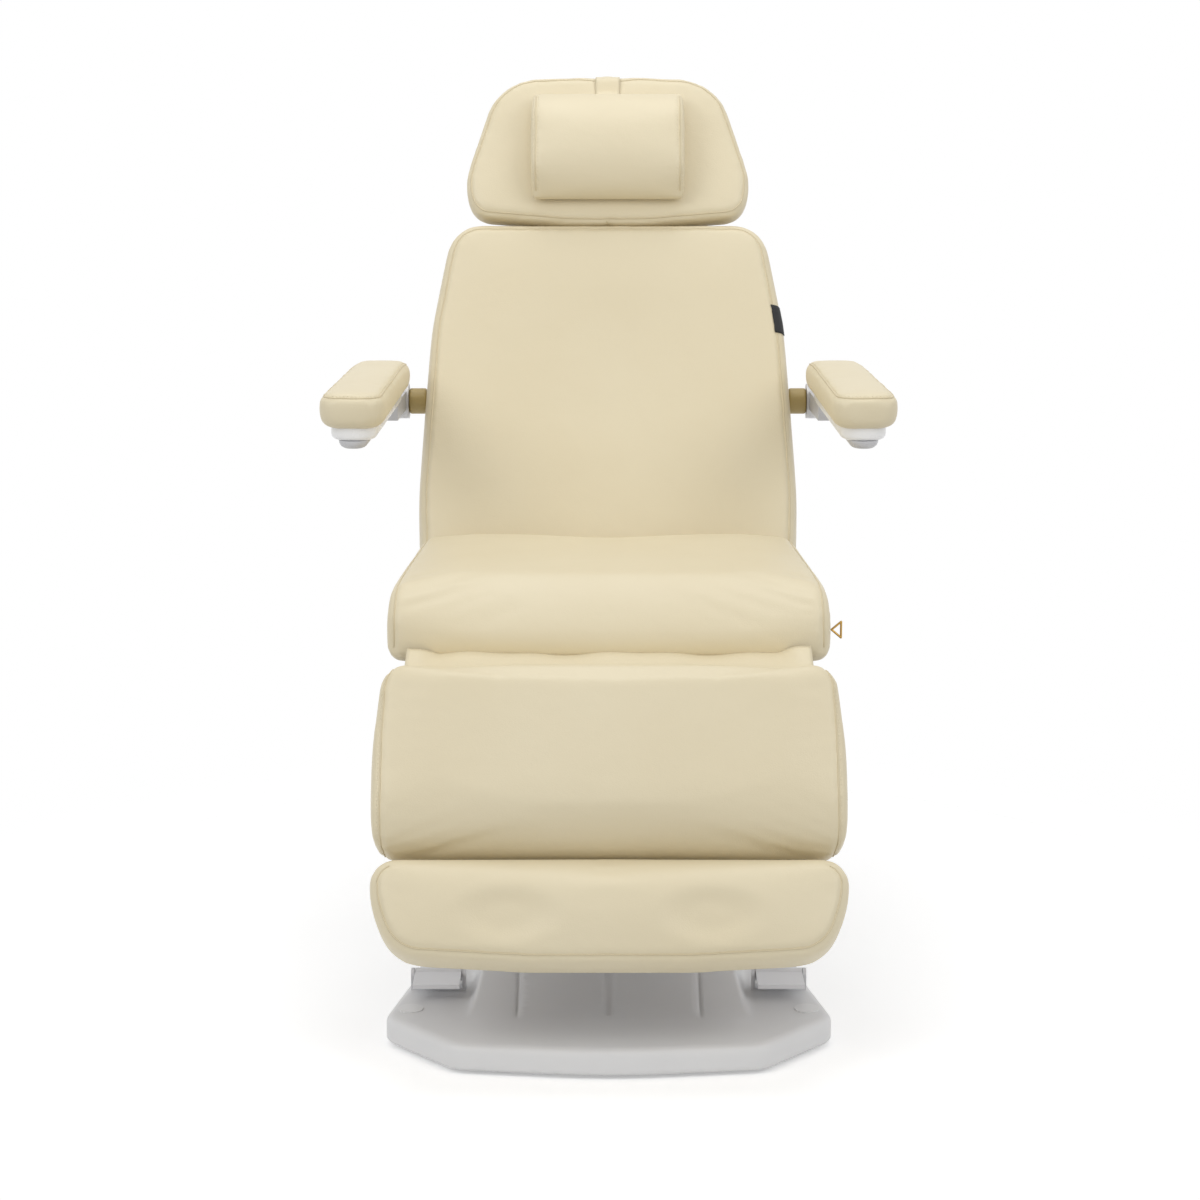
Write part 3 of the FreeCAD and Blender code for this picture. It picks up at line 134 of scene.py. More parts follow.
# Mesh helpers
TINY = 1e-9
WELD = 1e-5
EDGE_ARCS = 6
QUARTER = [math.pi / 2 * k / EDGE_ARCS for k in range(EDGE_ARCS + 1)]
FACE_RINGS = [0.0, 0.2, 0.4, 0.6, 0.8]
FORM_STEP = 0.012
SEAM_STEP = 0.006


def ease(share):
    """Takes 0 to 0 and 1 to 1, with no kink at either."""
    return share * share * (3 - 2 * share)


def between(value, start, end):
    """0 at start and 1 at end, with no kink at either."""
    return ease(np.clip((value - start) / (end - start), 0, 1))


def lengths(rows):
    """Length of each row as a column, never 0."""
    return np.maximum(np.linalg.norm(rows, axis=1, keepdims=True), TINY)


def grid_faces(rows, columns):
    """Four-sided faces between rows of points."""
    faces = []
    for r in range(rows - 1):
        for k in range(columns - 1):
            first = r * columns + k
            faces.append((first, first + 1, first + columns + 1, first + columns))
    return faces


def add_object(name, data):
    made = bpy.data.objects.new(name, data)
    SCENE.collection.objects.link(made)
    return made


def add_mesh(name, points, faces):
    mesh = bpy.data.meshes.new(name)
    mesh.from_pydata([tuple(point) for point in points], [], faces)
    mesh.update()
    return add_object(name, mesh)


def smooth(obj):
    obj.data.polygons.foreach_set("use_smooth", [True] * len(obj.data.polygons))
    obj.data.update()


def modify(obj, kind, **traits):
    """Changes the mesh of an object for good, by one modifier."""
    change = obj.modifiers.new(kind.lower(), kind)
    for name, value in traits.items():
        setattr(change, name, value)
    graph = bpy.context.evaluated_depsgraph_get()
    mesh = bpy.data.meshes.new_from_object(obj.evaluated_get(graph))
    old = obj.data
    obj.modifiers.clear()
    obj.data = mesh
    bpy.data.meshes.remove(old)
    mesh.name = obj.name


def outline(corners, step):
    """Points and outward normals round a closed outline of (a, b, radius) corners, listed anticlockwise."""
    bends = []
    count = len(corners)
    for i, (a, b, radius) in enumerate(corners):
        here = Vector((a, b))
        to_last = (Vector(corners[i - 1][:2]) - here).normalized()
        to_next = (Vector(corners[(i + 1) % count][:2]) - here).normalized()
        hollow = -1 if to_next.cross(to_last) < 0 else 1
        half_turn = to_last.angle(to_next) / 2
        centre = here + (to_last + to_next).normalized() * (radius / math.sin(half_turn))
        start = math.atan2(to_last.x, -to_last.y)
        bends.append((centre, hollow * radius, start, hollow * (math.pi - 2 * half_turn)))
    points = []
    normals = []
    for i, (centre, radius, start, sweep) in enumerate(bends):
        arcs = max(3, math.ceil(abs(radius * sweep) / step))
        for k in range(arcs + 1):
            angle = start + sweep * k / arcs
            way = Vector((math.cos(angle), math.sin(angle)))
            points.append(centre + way * radius)
            normals.append(way)
        next_centre, next_radius, next_start, _ = bends[(i + 1) % count]
        goal = next_centre + Vector((math.cos(next_start), math.sin(next_start))) * next_radius
        run = goal - points[-1]
        pieces = max(1, int(run.length / step))
        for _ in range(1, pieces):
            points.append(points[-1] + run / pieces)
            normals.append(normals[-1])
    return np.array(points), np.array(normals)


def box_plan(low, high, inset, corner):
    """Rounded rectangle in plan between two corners, anticlockwise."""
    x0, x1 = low.x + inset, high.x - inset
    y0, y1 = low.y + inset, high.y - inset
    return [(x0, y0, corner), (x1, y0, corner), (x1, y1, corner), (x0, y1, corner)]


def both_halves(corners):
    """Whole outline, anticlockwise, from the corners of its +X half listed from -Y to +Y."""
    return corners + [(-a, b, radius) for a, b, radius in reversed(corners)]


def edge_section(low, high, low_round, high_round, step):
    """Section of a padded edge as (inset, height) pairs, from the low face to the high one."""
    section = [(low_round * (1 - math.sin(a)), low + low_round * (1 - math.cos(a))) for a in QUARTER]
    straight = high - high_round - low - low_round
    sides = max(2, int(straight / step))
    section += [(0.0, low + low_round + straight * k / sides) for k in range(1, sides)]
    section += [(high_round * (1 - math.cos(a)), high - high_round * (1 - math.sin(a))) for a in QUARTER]
    return section


def rounded_form(name, corners, low, high, low_round, high_round, crown=0.0, axis="z", step=FORM_STEP):
    """Closed form: an outline in two axes, raised from low to high along the third, with both rims rounded.
    crown lifts the middle of the high face. axis "z" takes a plan (x, y), and "x" a profile (y, z)."""
    points, normals = outline(corners, step)
    middle = points.mean(axis=0)
    section = edge_section(low, high, low_round, high_round, step)
    rings = []
    for share in FACE_RINGS:
        rings.append((middle + (points - normals * section[0][0] - middle) * share, low))
    for inset, height in section:
        rings.append((points - normals * inset, height))
    for share in reversed(FACE_RINGS):
        flat = middle + (points - normals * section[-1][0] - middle) * share
        rings.append((flat, high + crown * (1 - share * share)))
    count = len(points)
    layers = []
    for flat, height in rings:
        tall = np.full((count, 1), height)
        layers.append(np.hstack([flat, tall] if axis == "z" else [tall, flat]))
    faces = []
    for r in range(len(rings) - 1):
        for k in range(count):
            after = (k + 1) % count
            faces.append((r * count + k, r * count + after, (r + 1) * count + after, (r + 1) * count + k))
    made = add_mesh(name, np.vstack(layers), faces)
    clean = bmesh.new()
    clean.from_mesh(made.data)
    bmesh.ops.remove_doubles(clean, verts=clean.verts, dist=WELD)
    bmesh.ops.recalc_face_normals(clean, faces=clean.faces)
    clean.to_mesh(made.data)
    clean.free()
    return made


def rim(corners, inset, height):
    """Closed line round an outline, set in from it, at one height."""
    points, normals = outline(corners, SEAM_STEP)
    ring = np.hstack([points - normals * inset, np.full((len(points), 1), height)])
    return np.vstack([ring, ring[:1]])


# Padding
VOXEL = 0.006
CLOTH_FRAMES = 20
CLOTH_PRESSURE = 4.0
CLOTH_STIFF = 12
CLOTH_BEND = 0.6
HELD_LEAST = 0.02
PAD_RELAX = 3
GROOVE_DEEP = 0.0022
GROOVE_REACH = 0.008
PUCKER_DEEP = 0.0011
PUCKER_REACH = 0.026
PUCKER_PITCH = 0.013


def near_path(points, path, reach):
    """1 on a line of points, falling to 0 at reach from it."""
    links = [(k, k + 1, k) for k in range(len(path) - 1)]
    tree = BVHTree.FromPolygons([Vector(point) for point in path], links)
    away = np.full(len(points), reach)
    low = path.min(axis=0) - reach
    high = path.max(axis=0) + reach
    close = np.flatnonzero(((points > low) & (points < high)).all(axis=1))
    for k in close:
        found, _, _, distance = tree.find_nearest(Vector(points[k]), reach)
        if found is not None:
            away[k] = distance
    return np.clip(1 - away / reach, 0, 1)


def swell(obj, cap, floor, seams):
    """Fills a form with air pressure. Its floor face and its seams stay, and the rest moves up to cap."""
    before = points_of(obj)
    keep = np.clip(1 - (before[:, 2] - floor) / (2 * VOXEL), 0, 1)
    for path in seams:
        keep = np.maximum(keep, near_path(before, path, 2 * VOXEL))
    group = obj.vertex_groups.new(name="held")
    for k in np.flatnonzero(keep > HELD_LEAST):
        group.add([int(k)], float(keep[k]), "REPLACE")
    cloth = obj.modifiers.new("fill", "CLOTH")
    settings = cloth.settings
    settings.quality = 3
    settings.tension_stiffness = CLOTH_STIFF
    settings.compression_stiffness = CLOTH_STIFF
    settings.bending_stiffness = CLOTH_BEND
    settings.use_pressure = True
    settings.uniform_pressure_force = CLOTH_PRESSURE
    settings.vertex_group_mass = group.name
    settings.effector_weights.gravity = 0
    cloth.collision_settings.use_collision = False
    for step in range(1, CLOTH_FRAMES + 1):
        SCENE.frame_set(step)
    graph = bpy.context.evaluated_depsgraph_get()
    shift = points_of(obj.evaluated_get(graph)) - before
    obj.modifiers.remove(cloth)
    obj.vertex_groups.remove(group)
    SCENE.frame_set(1)
    set_points(obj, before + shift * np.minimum(1, cap / lengths(shift)))


def press(obj, path, deep=GROOVE_DEEP, reach=GROOVE_REACH):
    """Sinks a line into the surface."""
    points = points_of(obj)
    amount = ease(near_path(points, path, reach))
    set_points(obj, points - normals_of(obj) * (amount * deep)[:, None])


def pucker(obj, path):
    """Small uneven creases in the cover beside a seam."""
    points = points_of(obj)
    amount = near_path(points, path, PUCKER_REACH)
    waves = np.zeros(len(points))
    for k in np.flatnonzero(amount):
        waves[k] = noise.noise(Vector(points[k]) / PUCKER_PITCH)
    set_points(obj, points + normals_of(obj) * (amount * waves * PUCKER_DEEP)[:, None])


def refine(obj):
    modify(obj, "SUBSURF", levels=1, render_levels=1)
    smooth(obj)


def on_surface(obj, path):
    """The points of a surface nearest to a line, and the normals there."""
    tree = BVHTree.FromObject(obj, bpy.context.evaluated_depsgraph_get())
    hits = [tree.find_nearest(Vector(point)) for point in path]
    return np.array([hit[0] for hit in hits]), np.array([hit[1] for hit in hits])


# Sewing
def bead(name, path, radius):
    """Round bead along a line."""
    curve = bpy.data.curves.new(name, "CURVE")
    curve.dimensions = "3D"
    curve.bevel_depth = radius
    curve.bevel_resolution = 1
    closed = bool(np.linalg.norm(path[0] - path[-1]) < TINY)
    kept = path[:-1] if closed else path
    line = curve.splines.new("POLY")
    line.points.add(len(kept) - 1)
    line.points.foreach_set("co", np.hstack([kept, np.ones((len(kept), 1))]).ravel())
    line.use_cyclic_u = closed
    source = add_object(name, curve)
    mesh = bpy.data.meshes.new_from_object(source.evaluated_get(bpy.context.evaluated_depsgraph_get()))
    bpy.data.objects.remove(source)
    bpy.data.curves.remove(curve)
    mesh.name = name
    made = add_object(name, mesh)
    smooth(made)
    return made


def along(path, pitch):
    """Points at an even pitch along a line, with the line's direction at each."""
    steps = np.linalg.norm(np.diff(path, axis=0), axis=1)
    way = np.concatenate([[0], np.cumsum(steps)])
    stops = np.arange(pitch / 2, way[-1], pitch)
    behind, places, ahead = [
        np.stack([np.interp(stops + shift, way, path[:, k]) for k in range(3)], axis=1)
        for shift in (-pitch / 4, 0, pitch / 4)
    ]
    runs = ahead - behind
    return places, runs / lengths(runs)


STITCH_PITCH = 0.0055
STITCH_LONG = 0.0036
STITCH_RADIUS = 0.00055
STITCH_SIDES = 5


def stitches(name, obj, path, aside):
    """Row of stitches on a surface beside a line: short round dashes, at the distance aside from it."""
    base, normals = on_surface(obj, path)
    runs = np.gradient(base, axis=0)
    across = np.cross(runs, normals)
    across /= lengths(across)
    row, _ = on_surface(obj, base + across * aside)
    places, ways = along(row, STITCH_PITCH)
    _, ups = on_surface(obj, places)
    sides = np.cross(ways, ups)
    points = []
    faces = []
    turns = [2 * math.pi * k / STITCH_SIDES for k in range(STITCH_SIDES)]
    for place, way, up, side in zip(places, ways, ups, sides):
        tip = len(points)
        near = tip + 1
        far = near + STITCH_SIDES
        points.append(place - way * STITCH_LONG / 2)
        for end in (-1, 1):
            middle = place + way * (end * STITCH_LONG / 3)
            points += [middle + (up * math.sin(t) + side * math.cos(t)) * STITCH_RADIUS for t in turns]
        points.append(place + way * STITCH_LONG / 2)
        for k in range(STITCH_SIDES):
            after = (k + 1) % STITCH_SIDES
            faces.append((tip, near + k, near + after))
            faces.append((near + k, far + k, far + after, near + after))
            faces.append((far + k, far + STITCH_SIDES, far + after))
    made = add_mesh(name, points, faces)
    smooth(made)
    return made


# Materials
def screen(red, green, blue):
    """Linear colour from 0 to 255 screen values."""
    shares = [value / 255 for value in (red, green, blue)]
    return [s / 12.92 if s < 0.04 else ((s + 0.055) / 1.055) ** 2.4 for s in shares] + [1]


WHITE = (1, 1, 1, 1)
CREAM = screen(228, 217, 188)
CREAM_WORN = screen(221, 208, 176)
THREAD = screen(236, 227, 202)
ROUGH_SPREAD = 0.06
MIX_SHARE, MIX_FIRST, MIX_SECOND = 0, 6, 7
MIX_RESULT = 2


def feed(tree, node, values):
    """Sets inputs of a material's node to values, or links them to outputs of other nodes."""
    for name, value in values.items():
        if hasattr(value, "node"):
            tree.links.new(value, node.inputs[name])
        else:
            node.inputs[name].default_value = value


def add_node(tree, kind, values, **traits):
    """Adds a node to a material and gives its outputs."""
    node = tree.nodes.new("ShaderNode" + kind)
    for name, value in traits.items():
        setattr(node, name, value)
    feed(tree, node, values)
    return node.outputs


def direct_rays(tree):
    """1 where a surface is seen, also in a mirror or through a clear surface, and 0 where it only lights."""
    rays = add_node(tree, "LightPath", {})
    seen = rays["Is Camera Ray"]
    for word in ("Is Glossy Ray", "Is Transmission Ray"):
        seen = add_node(tree, "Math", {0: seen, 1: rays[word]}, operation="MAXIMUM")["Value"]
    return seen


class Surface:
    """A procedural material: a mottled colour, a roughness that varies a little, and fine relief."""

    def __init__(self, name, colour, second, mottle_scale, roughness, metallic=0.0):
        self.material = bpy.data.materials.new(name)
        self.material.use_nodes = True
        self.tree = self.material.node_tree
        self.shader = self.tree.nodes["Principled BSDF"]
        self.place = self.add("TexCoord", {})["Object"]
        self.relief = None
        self.paint(self.mix(self.noise(mottle_scale, detail=4), colour, second))
        speckle = self.noise(mottle_scale * 3, detail=3)
        ends = {"To Min": roughness - ROUGH_SPREAD, "To Max": roughness + ROUGH_SPREAD}
        spread = self.add("MapRange", {"Value": speckle, **ends})["Result"]
        feed(self.tree, self.shader, {"Metallic": metallic, "Roughness": spread})

    def add(self, kind, values, **traits):
        return add_node(self.tree, kind, values, **traits)

    def noise(self, scale, detail, stretch=None):
        place = self.place
        if stretch:
            place = self.add("Mapping", {"Vector": place, "Scale": stretch})["Vector"]
        return self.add("TexNoise", {"Vector": place, "Scale": scale, "Detail": detail})["Fac"]

    def cells(self, scale):
        values = {"Vector": self.place, "Scale": scale}
        return self.add("TexVoronoi", values, feature="SMOOTH_F1")["Distance"]

    def mix(self, share, first, second):
        values = {MIX_SHARE: share, MIX_FIRST: first, MIX_SECOND: second}
        return self.add("Mix", values, data_type="RGBA")[MIX_RESULT]

    def paint(self, colour):
        self.colour = colour
        feed(self.tree, self.shader, {"Base Color": colour})

    def wear_and_highlight(self, colour, start, end):
        """Edges that stand out take another colour: rubbed wear, and a painted highlight along them."""
        edge = self.add("NewGeometry", {})["Pointiness"]
        share = self.add("MapRange", {"Value": edge, "From Min": start, "From Max": end})["Result"]
        self.paint(self.mix(share, self.colour, colour))
        return self

    def raise_by(self, height, deep, strength):
        """Adds a layer of relief, deep metres from its lowest to its highest point."""
        values = {"Distance": deep, "Strength": strength, "Height": height}
        if self.relief:
            values["Normal"] = self.relief
        self.relief = self.add("Bump", values)["Normal"]
        feed(self.tree, self.shader, {"Normal": self.relief})

    def glow_to_camera(self, level):
        """The surface looks paler by level to the camera and in mirrors, and gives off no light."""
        share = self.add("Math", {0: direct_rays(self.tree), 1: level}, operation="MULTIPLY")["Value"]
        feed(self.tree, self.shader, {"Emission Color": WHITE, "Emission Strength": share})

    def fade(self, start, end):
        """The surface turns clear between two distances from its origin."""
        away = self.add("VectorMath", {0: self.place}, operation="LENGTH")["Value"]
        values = {"Value": away, "From Min": start, "From Max": end}
        share = self.add("MapRange", values, interpolation_type="SMOOTHSTEP")["Result"]
        clear = self.add("BsdfTransparent", {})["BSDF"]
        both = self.add("MixShader", {0: share, 1: self.shader.outputs["BSDF"], 2: clear})["Shader"]
        feed(self.tree, self.tree.nodes["Material Output"], {"Surface": both})


def make_vinyl(name, colour, worn):
    """Soft upholstery vinyl with a fine leather grain and slight unevenness of the foam below it."""
    vinyl = Surface(name, colour, worn, mottle_scale=5, roughness=0.46)
    vinyl.raise_by(vinyl.noise(scale=28, detail=2), deep=0.0016, strength=0.5)
    vinyl.raise_by(vinyl.cells(scale=620), deep=0.00025, strength=0.55)
    vinyl.raise_by(vinyl.noise(scale=1900, detail=2), deep=0.0001, strength=0.4)
    return vinyl.material


def brighter(colour, times):
    return [min(1, share * times) for share in colour[:3]] + [1]


def make_moulded(name, colour, second, roughness):
    """Moulded plastic with a fine spark-eroded texture, and edges painted paler as rubbed wear and a painted
    highlight.
    """
    plastic = Surface(name, colour, second, mottle_scale=7, roughness=roughness)
    plastic.raise_by(plastic.noise(scale=1400, detail=3), deep=0.00012, strength=0.5)
    # Standing edges painted paler: rubbed wear and a painted highlight.
    return plastic.wear_and_highlight(brighter(colour, times=1.08), start=0.52, end=0.62).material


def make_painted(name, colour, second, roughness, metallic):
    """Powder-coated metal with a slight orange peel, and edges painted brighter as rubbed wear and a painted
    highlight.
    """
    paint = Surface(name, colour, second, mottle_scale=18, roughness=roughness, metallic=metallic)
    paint.raise_by(paint.noise(scale=420, detail=2), deep=0.0002, strength=0.5)
    # Standing edges painted brighter: rubbed wear and a painted highlight.
    return paint.wear_and_highlight(brighter(colour, times=1.25), start=0.53, end=0.65).material


def make_brushed(name, colour, second, roughness):
    """Bare metal with a soft drawn grain."""
    metal = Surface(name, colour, second, mottle_scale=30, roughness=roughness, metallic=1.0)
    metal.raise_by(metal.noise(scale=12, detail=2, stretch=(1, 6, 6)), deep=0.0002, strength=0.3)
    return metal.material


def make_wood():
    """Bare birch plywood with a long grain."""
    colours = (screen(205, 176, 134), screen(194, 162, 118))
    wood = Surface("plywood", *colours, mottle_scale=4, roughness=0.62)
    grain = wood.noise(scale=22, detail=6, stretch=(1, 9, 9))
    wood.paint(wood.mix(grain, wood.colour, screen(176, 140, 96)))
    wood.raise_by(grain, deep=0.0004, strength=0.6)
    return wood.material


def make_woven(name, colour, second, roughness):
    """Close-woven tape."""
    tape = Surface(name, colour, second, mottle_scale=40, roughness=roughness)
    tape.raise_by(tape.cells(scale=900), deep=0.0004, strength=0.8)
    return tape.material


VINYL = make_vinyl("vinyl", CREAM, CREAM_WORN)
SEAM_VINYL = make_vinyl("seam_vinyl", CREAM_WORN, screen(204, 190, 156))
# Sleeve vinyl: the cream painted darker and more olive, as painted shade where the sleeves sit between the
# back and the arm brackets.
SHADED_SLEEVE_VINYL = make_vinyl("shaded_sleeve_vinyl", screen(188, 167, 112), screen(176, 154, 98))
SEWING = make_woven("thread", THREAD, CREAM_WORN, roughness=0.7)
SLOT_MATERIALS = {"vinyl": VINYL, "plywood": make_wood()}

# Each row has a slot, its two colours and its roughness. A painted one also has its share of metal.
MOULDED = [
    ("white_shell", (246, 246, 246), (242, 242, 242), 0.28),
    ("base_plastic", (226, 226, 226), (221, 221, 222), 0.45),
    ("drive_casing", (120, 122, 126), (110, 112, 116), 0.5),
    ("black_plastic", (38, 38, 40), (30, 30, 32), 0.5),
    ("rubber_foot", (36, 36, 37), (28, 28, 29), 0.8),
]
BRUSHED = [
    ("bright_steel", (205, 206, 208), (188, 189, 192), 0.28),
    ("bronze_bush", (176, 132, 84), (150, 110, 70), 0.4),
    ("brass_ring", (196, 160, 92), (170, 134, 70), 0.3),
]
PAINTED = [
    ("grey_metal", (204, 204, 206), (197, 197, 200), 0.42, 0.1),
    ("frame_steel", (70, 71, 74), (60, 61, 64), 0.5, 0.3),
]
WOVEN = [("black_tag", (26, 26, 28), (18, 18, 20), 0.7)]
FINISHES = {make_moulded: MOULDED, make_brushed: BRUSHED, make_painted: PAINTED, make_woven: WOVEN}
for make, slots in FINISHES.items():
    for slot, first, second, *finish in slots:
        SLOT_MATERIALS[slot] = make(slot, screen(*first), screen(*second), *finish)


# Dressing
SLOT_OF = {part["node"]: part["material_slot"] for part in frame["record"]["subparts"]}
EDGE_SOFT = 0.0015
EDGE_SHARP = math.radians(35)
WELT = 0.0013


def dress(obj, slot, material=None):
    obj.data.materials.clear()
    obj.data.materials.append(material or SLOT_MATERIALS[slot])
    return obj


def dress_nodes():
    """Every CAD node takes the material of its slot, and its edges are softened a little."""
    for name, obj in frame["nodes"].items():
        for place in obj.material_slots:
            place.material = SLOT_MATERIALS[SLOT_OF[name]]
        bevel = obj.modifiers.new("soft_edges", "BEVEL")
        bevel.width = EDGE_SOFT
        bevel.segments = 2
        bevel.limit_method = "ANGLE"
        bevel.angle_limit = EDGE_SHARP
        bevel.use_clamp_overlap = True


def settle(pad, sewing, turn, body, node, material=VINYL):
    """Turns a finished pad and its sewing to their rest place, hangs them on their body, gives the pad its
    material and hides its CAD node.
    """
    for piece in [pad] + sewing:
        piece.data.transform(turn)
        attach(piece, body)
    dress(pad, "vinyl", material)
    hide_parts(node)


def sew(pad, name, seams, rows=()):
    """Welts in the grooves of a pad's seams, and rows of stitches at the given distances beside them."""
    made = []
    for k, path in enumerate(seams):
        line, _ = on_surface(pad, path)
        welt = bead(f"{name}_welt_{k + 1}", line, WELT)
        made.append(dress(welt, "vinyl", SEAM_VINYL))
        for n, aside in enumerate(rows):
            row = stitches(f"{name}_stitches_{k + 1}_{n + 1}", pad, path, aside)
            made.append(dress(row, "vinyl", SEWING))
    return made


def fill_pad(pad, cap, floor, seams):
    """Swells a pad, and draws its cover in along its seams."""
    modify(pad, "REMESH", mode="VOXEL", voxel_size=VOXEL)
    swell(pad, cap, floor, seams)
    modify(pad, "SMOOTH", iterations=PAD_RELAX)
    for path in seams:
        line, _ = on_surface(pad, path)
        pucker(pad, line)
        press(pad, line)


# Pads, as they are before they swell
SWELL = 0.007
SIDE_IN = 0.0015
TOP_IN = 0.006
WRAP = 0.010
PAD_ROUND = 0.024
UNDER_ROUND = 0.008
SEAM_ANGLE = math.radians(54)
SEAM_IN = 1 - math.cos(SEAM_ANGLE)
SEAM_DOWN = 1 - math.sin(SEAM_ANGLE)
BOWL_FLOOR = 0.3
HINGE_UP = 0.0165


def plan_of(low, high, shares, shrink):
    """Plan outline from the -Y end to the +Y end.
    Each corner has a share of the half width, a share of the length, and a radius."""
    half = high.x - shrink
    start = low.y + shrink
    length = high.y - shrink - start
    return both_halves([(half * a, start + length * b, radius) for a, b, radius in shares])


def plan_pad(name, node, turn, shares, edge=PAD_ROUND, grow=(0.0, 0.0), under=UNDER_ROUND):
    """A pad with a plan outline, in the box of its CAD node, with a seam round the rim of its upper face.
    edge and under round the rims of its two faces, and grow lengthens its -Y and +Y ends.
    Its cover wraps over the edge of the board below."""
    low, high = flat_box(node, turn)
    low.z -= WRAP
    low.y -= grow[0]
    high.y += grow[1]
    plan = plan_of(low, high, shares, SIDE_IN)
    top = high.z - TOP_IN
    pad = rounded_form(name, plan, low.z, top, under, edge, SWELL / 3)
    seams = [rim(plan, edge * SEAM_IN, top - edge * SEAM_DOWN)]
    return pad, low, high, seams


def side_seams(line, sides):
    """The same line of (y, z) points at each x in sides."""
    return [np.hstack([np.full((len(line), 1), x), line]) for x in sides]


def open_rim(path, limit):
    """The part of a closed line with y below limit, from one end to the other."""
    ring = path[:-1]
    kept = ring[:, 1] < limit
    first = np.flatnonzero(kept & ~np.roll(kept, 1))[0]
    return np.roll(ring, -first, axis=0)[np.roll(kept, -first)]


def roll_down(points, start, end, drop, low, high):
    """Lets points between the heights low and high roll down from y = start to y = end."""
    past = np.clip((points[:, 1] - start) / (end - start), 0, 1)
    high_share = np.clip((points[:, 2] - low) / (high - low), 0, 1)
    points[:, 2] -= drop * (1 - np.sqrt(1 - past ** 2)) * high_share
    return points


def taper(points, middle, start, end, share):
    """Draws points in towards x = middle, to a share of their distance at y = end."""
    along_share = np.clip((points[:, 1] - start) / (end - start), 0, 1)
    points[:, 0] = middle + (points[:, 0] - middle) * (1 - (1 - share) * along_share)
    return points


def lower(pad, amount):
    """Moves the upper side of a pad down by amount(x, y), fading out below its rim."""
    points = points_of(pad)
    upward = np.clip(normals_of(pad)[:, 2], 0, 1)
    points[:, 2] -= amount(points[:, 0], points[:, 1]) * upward
    set_points(pad, points)


def bowl(x, y, wide, long):
    """A round hollow with an even floor and a rim: 1 on its floor."""
    return between(np.hypot(x / wide, y / long), 1, BOWL_FLOOR)


def hollow(x, y, wide, long):
    """A soft round hollow: 1 in its middle."""
    return np.exp(-(x / wide) ** 2 - (y / long) ** 2)


def strip_mesh(name, rows, thick):
    """A thin strip through rows of points, with its thickness on the outer side."""
    strip = add_mesh(name, np.vstack(rows), grid_faces(len(rows), len(rows[0])))
    modify(strip, "SOLIDIFY", thickness=thick, offset=1)
    smooth(strip)
    return strip


def clear_hinge(pad, joint, reach, side):
    """Lifts the underside of a flat pad off its hinge plates, as far as reach past the hinge."""
    points = points_of(pad)
    hinge = JOINTS[joint]["pos_m"]
    over = (points[:, 1] < hinge[1] + reach) & (np.abs(points[:, 0]) < side)
    points[over, 2] = np.maximum(points[over, 2], hinge[2] + HINGE_UP)
    set_points(pad, points)


BACK_SHAPE = [(0.979, 0.0, 0.018), (1.0, 0.254, 0.4), (0.945, 0.712, 0.4), (0.84, 1.0, 0.055)]
BACK_GROW = (0.0, -0.001)
BACK_HINGE_REACH = 0.03
SHOULDER_DEEP = 0.005
SHOULDER_SHARE = 0.68
SHOULDER_WIDE = 0.16
SHOULDER_LONG = 0.10


def make_back():
    """Back pad, slightly hollow at the shoulders and cut away over its hinges."""
    pad, low, high, seams = plan_pad("back_pad", "back_cushion", BACK_TURN, BACK_SHAPE, grow=BACK_GROW)
    fill_pad(pad, SWELL, low.z, seams)
    middle = low.y + SHOULDER_SHARE * (high.y - low.y)
    lower(pad, lambda x, y: SHOULDER_DEEP * hollow(x, y - middle, SHOULDER_WIDE, SHOULDER_LONG))
    clear_hinge(pad, "back_recline", BACK_HINGE_REACH, high.x)
    refine(pad)
    make_tag(pad)
    settle(pad, sew(pad, "back", seams), BACK_TURN, "back", "back_cushion")


TAG_WIDE = 0.010
TAG_IN = 0.004
TAG_DOWN = 0.033
TAG_LIFT = 0.0018
TAG_THICK = 0.0008
TAG_ROWS = 12
TAG_COLUMNS = 7
TAG_START = 0.4


def make_tag(pad):
    """Bare woven tag, laid flat on the rounded edge of the back pad."""
    low, high = flat_box("side_tag", BACK_TURN)
    points = points_of(pad)
    rows = []
    shares = np.linspace(0, 1, TAG_COLUMNS)
    for y in np.linspace(low.y, high.y, TAG_ROWS) - TAG_DOWN:
        edge = points[np.abs(points[:, 1] - y) < VOXEL, 0].max()
        heights = low.z + PAD_ROUND * (shares - TAG_START)
        targets = np.stack([edge - TAG_IN - TAG_WIDE * shares, np.full(TAG_COLUMNS, y), heights], axis=1)
        line, normals = on_surface(pad, targets)
        line += normals * TAG_LIFT
        line[1:-1] = np.mean([line[:-2], line[1:-1], line[2:]], axis=0)
        rows.append(line)
    tag = strip_mesh("tag", rows, TAG_THICK)
    tag.data.transform(BACK_TURN)
    dress(tag, "black_tag")
    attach(tag, "back")
    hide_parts("side_tag")


HEAD_SHAPE = [(0.25, 0.0, 0.3), (0.93, 0.055, 0.036), (1.0, 0.27, 0.1)]
HEAD_SHAPE += [(0.763, 0.974, 0.085), (0.2, 1.0, 0.3)]
HEAD_ROUND = 0.014
HEAD_UNDER = 0.04
HEAD_GROW = (0.012, 0.009)
HEAD_SEAM_POINTS = 8
STRAP_DENT = 0.004
STRAP_DENT_LONG = 0.06


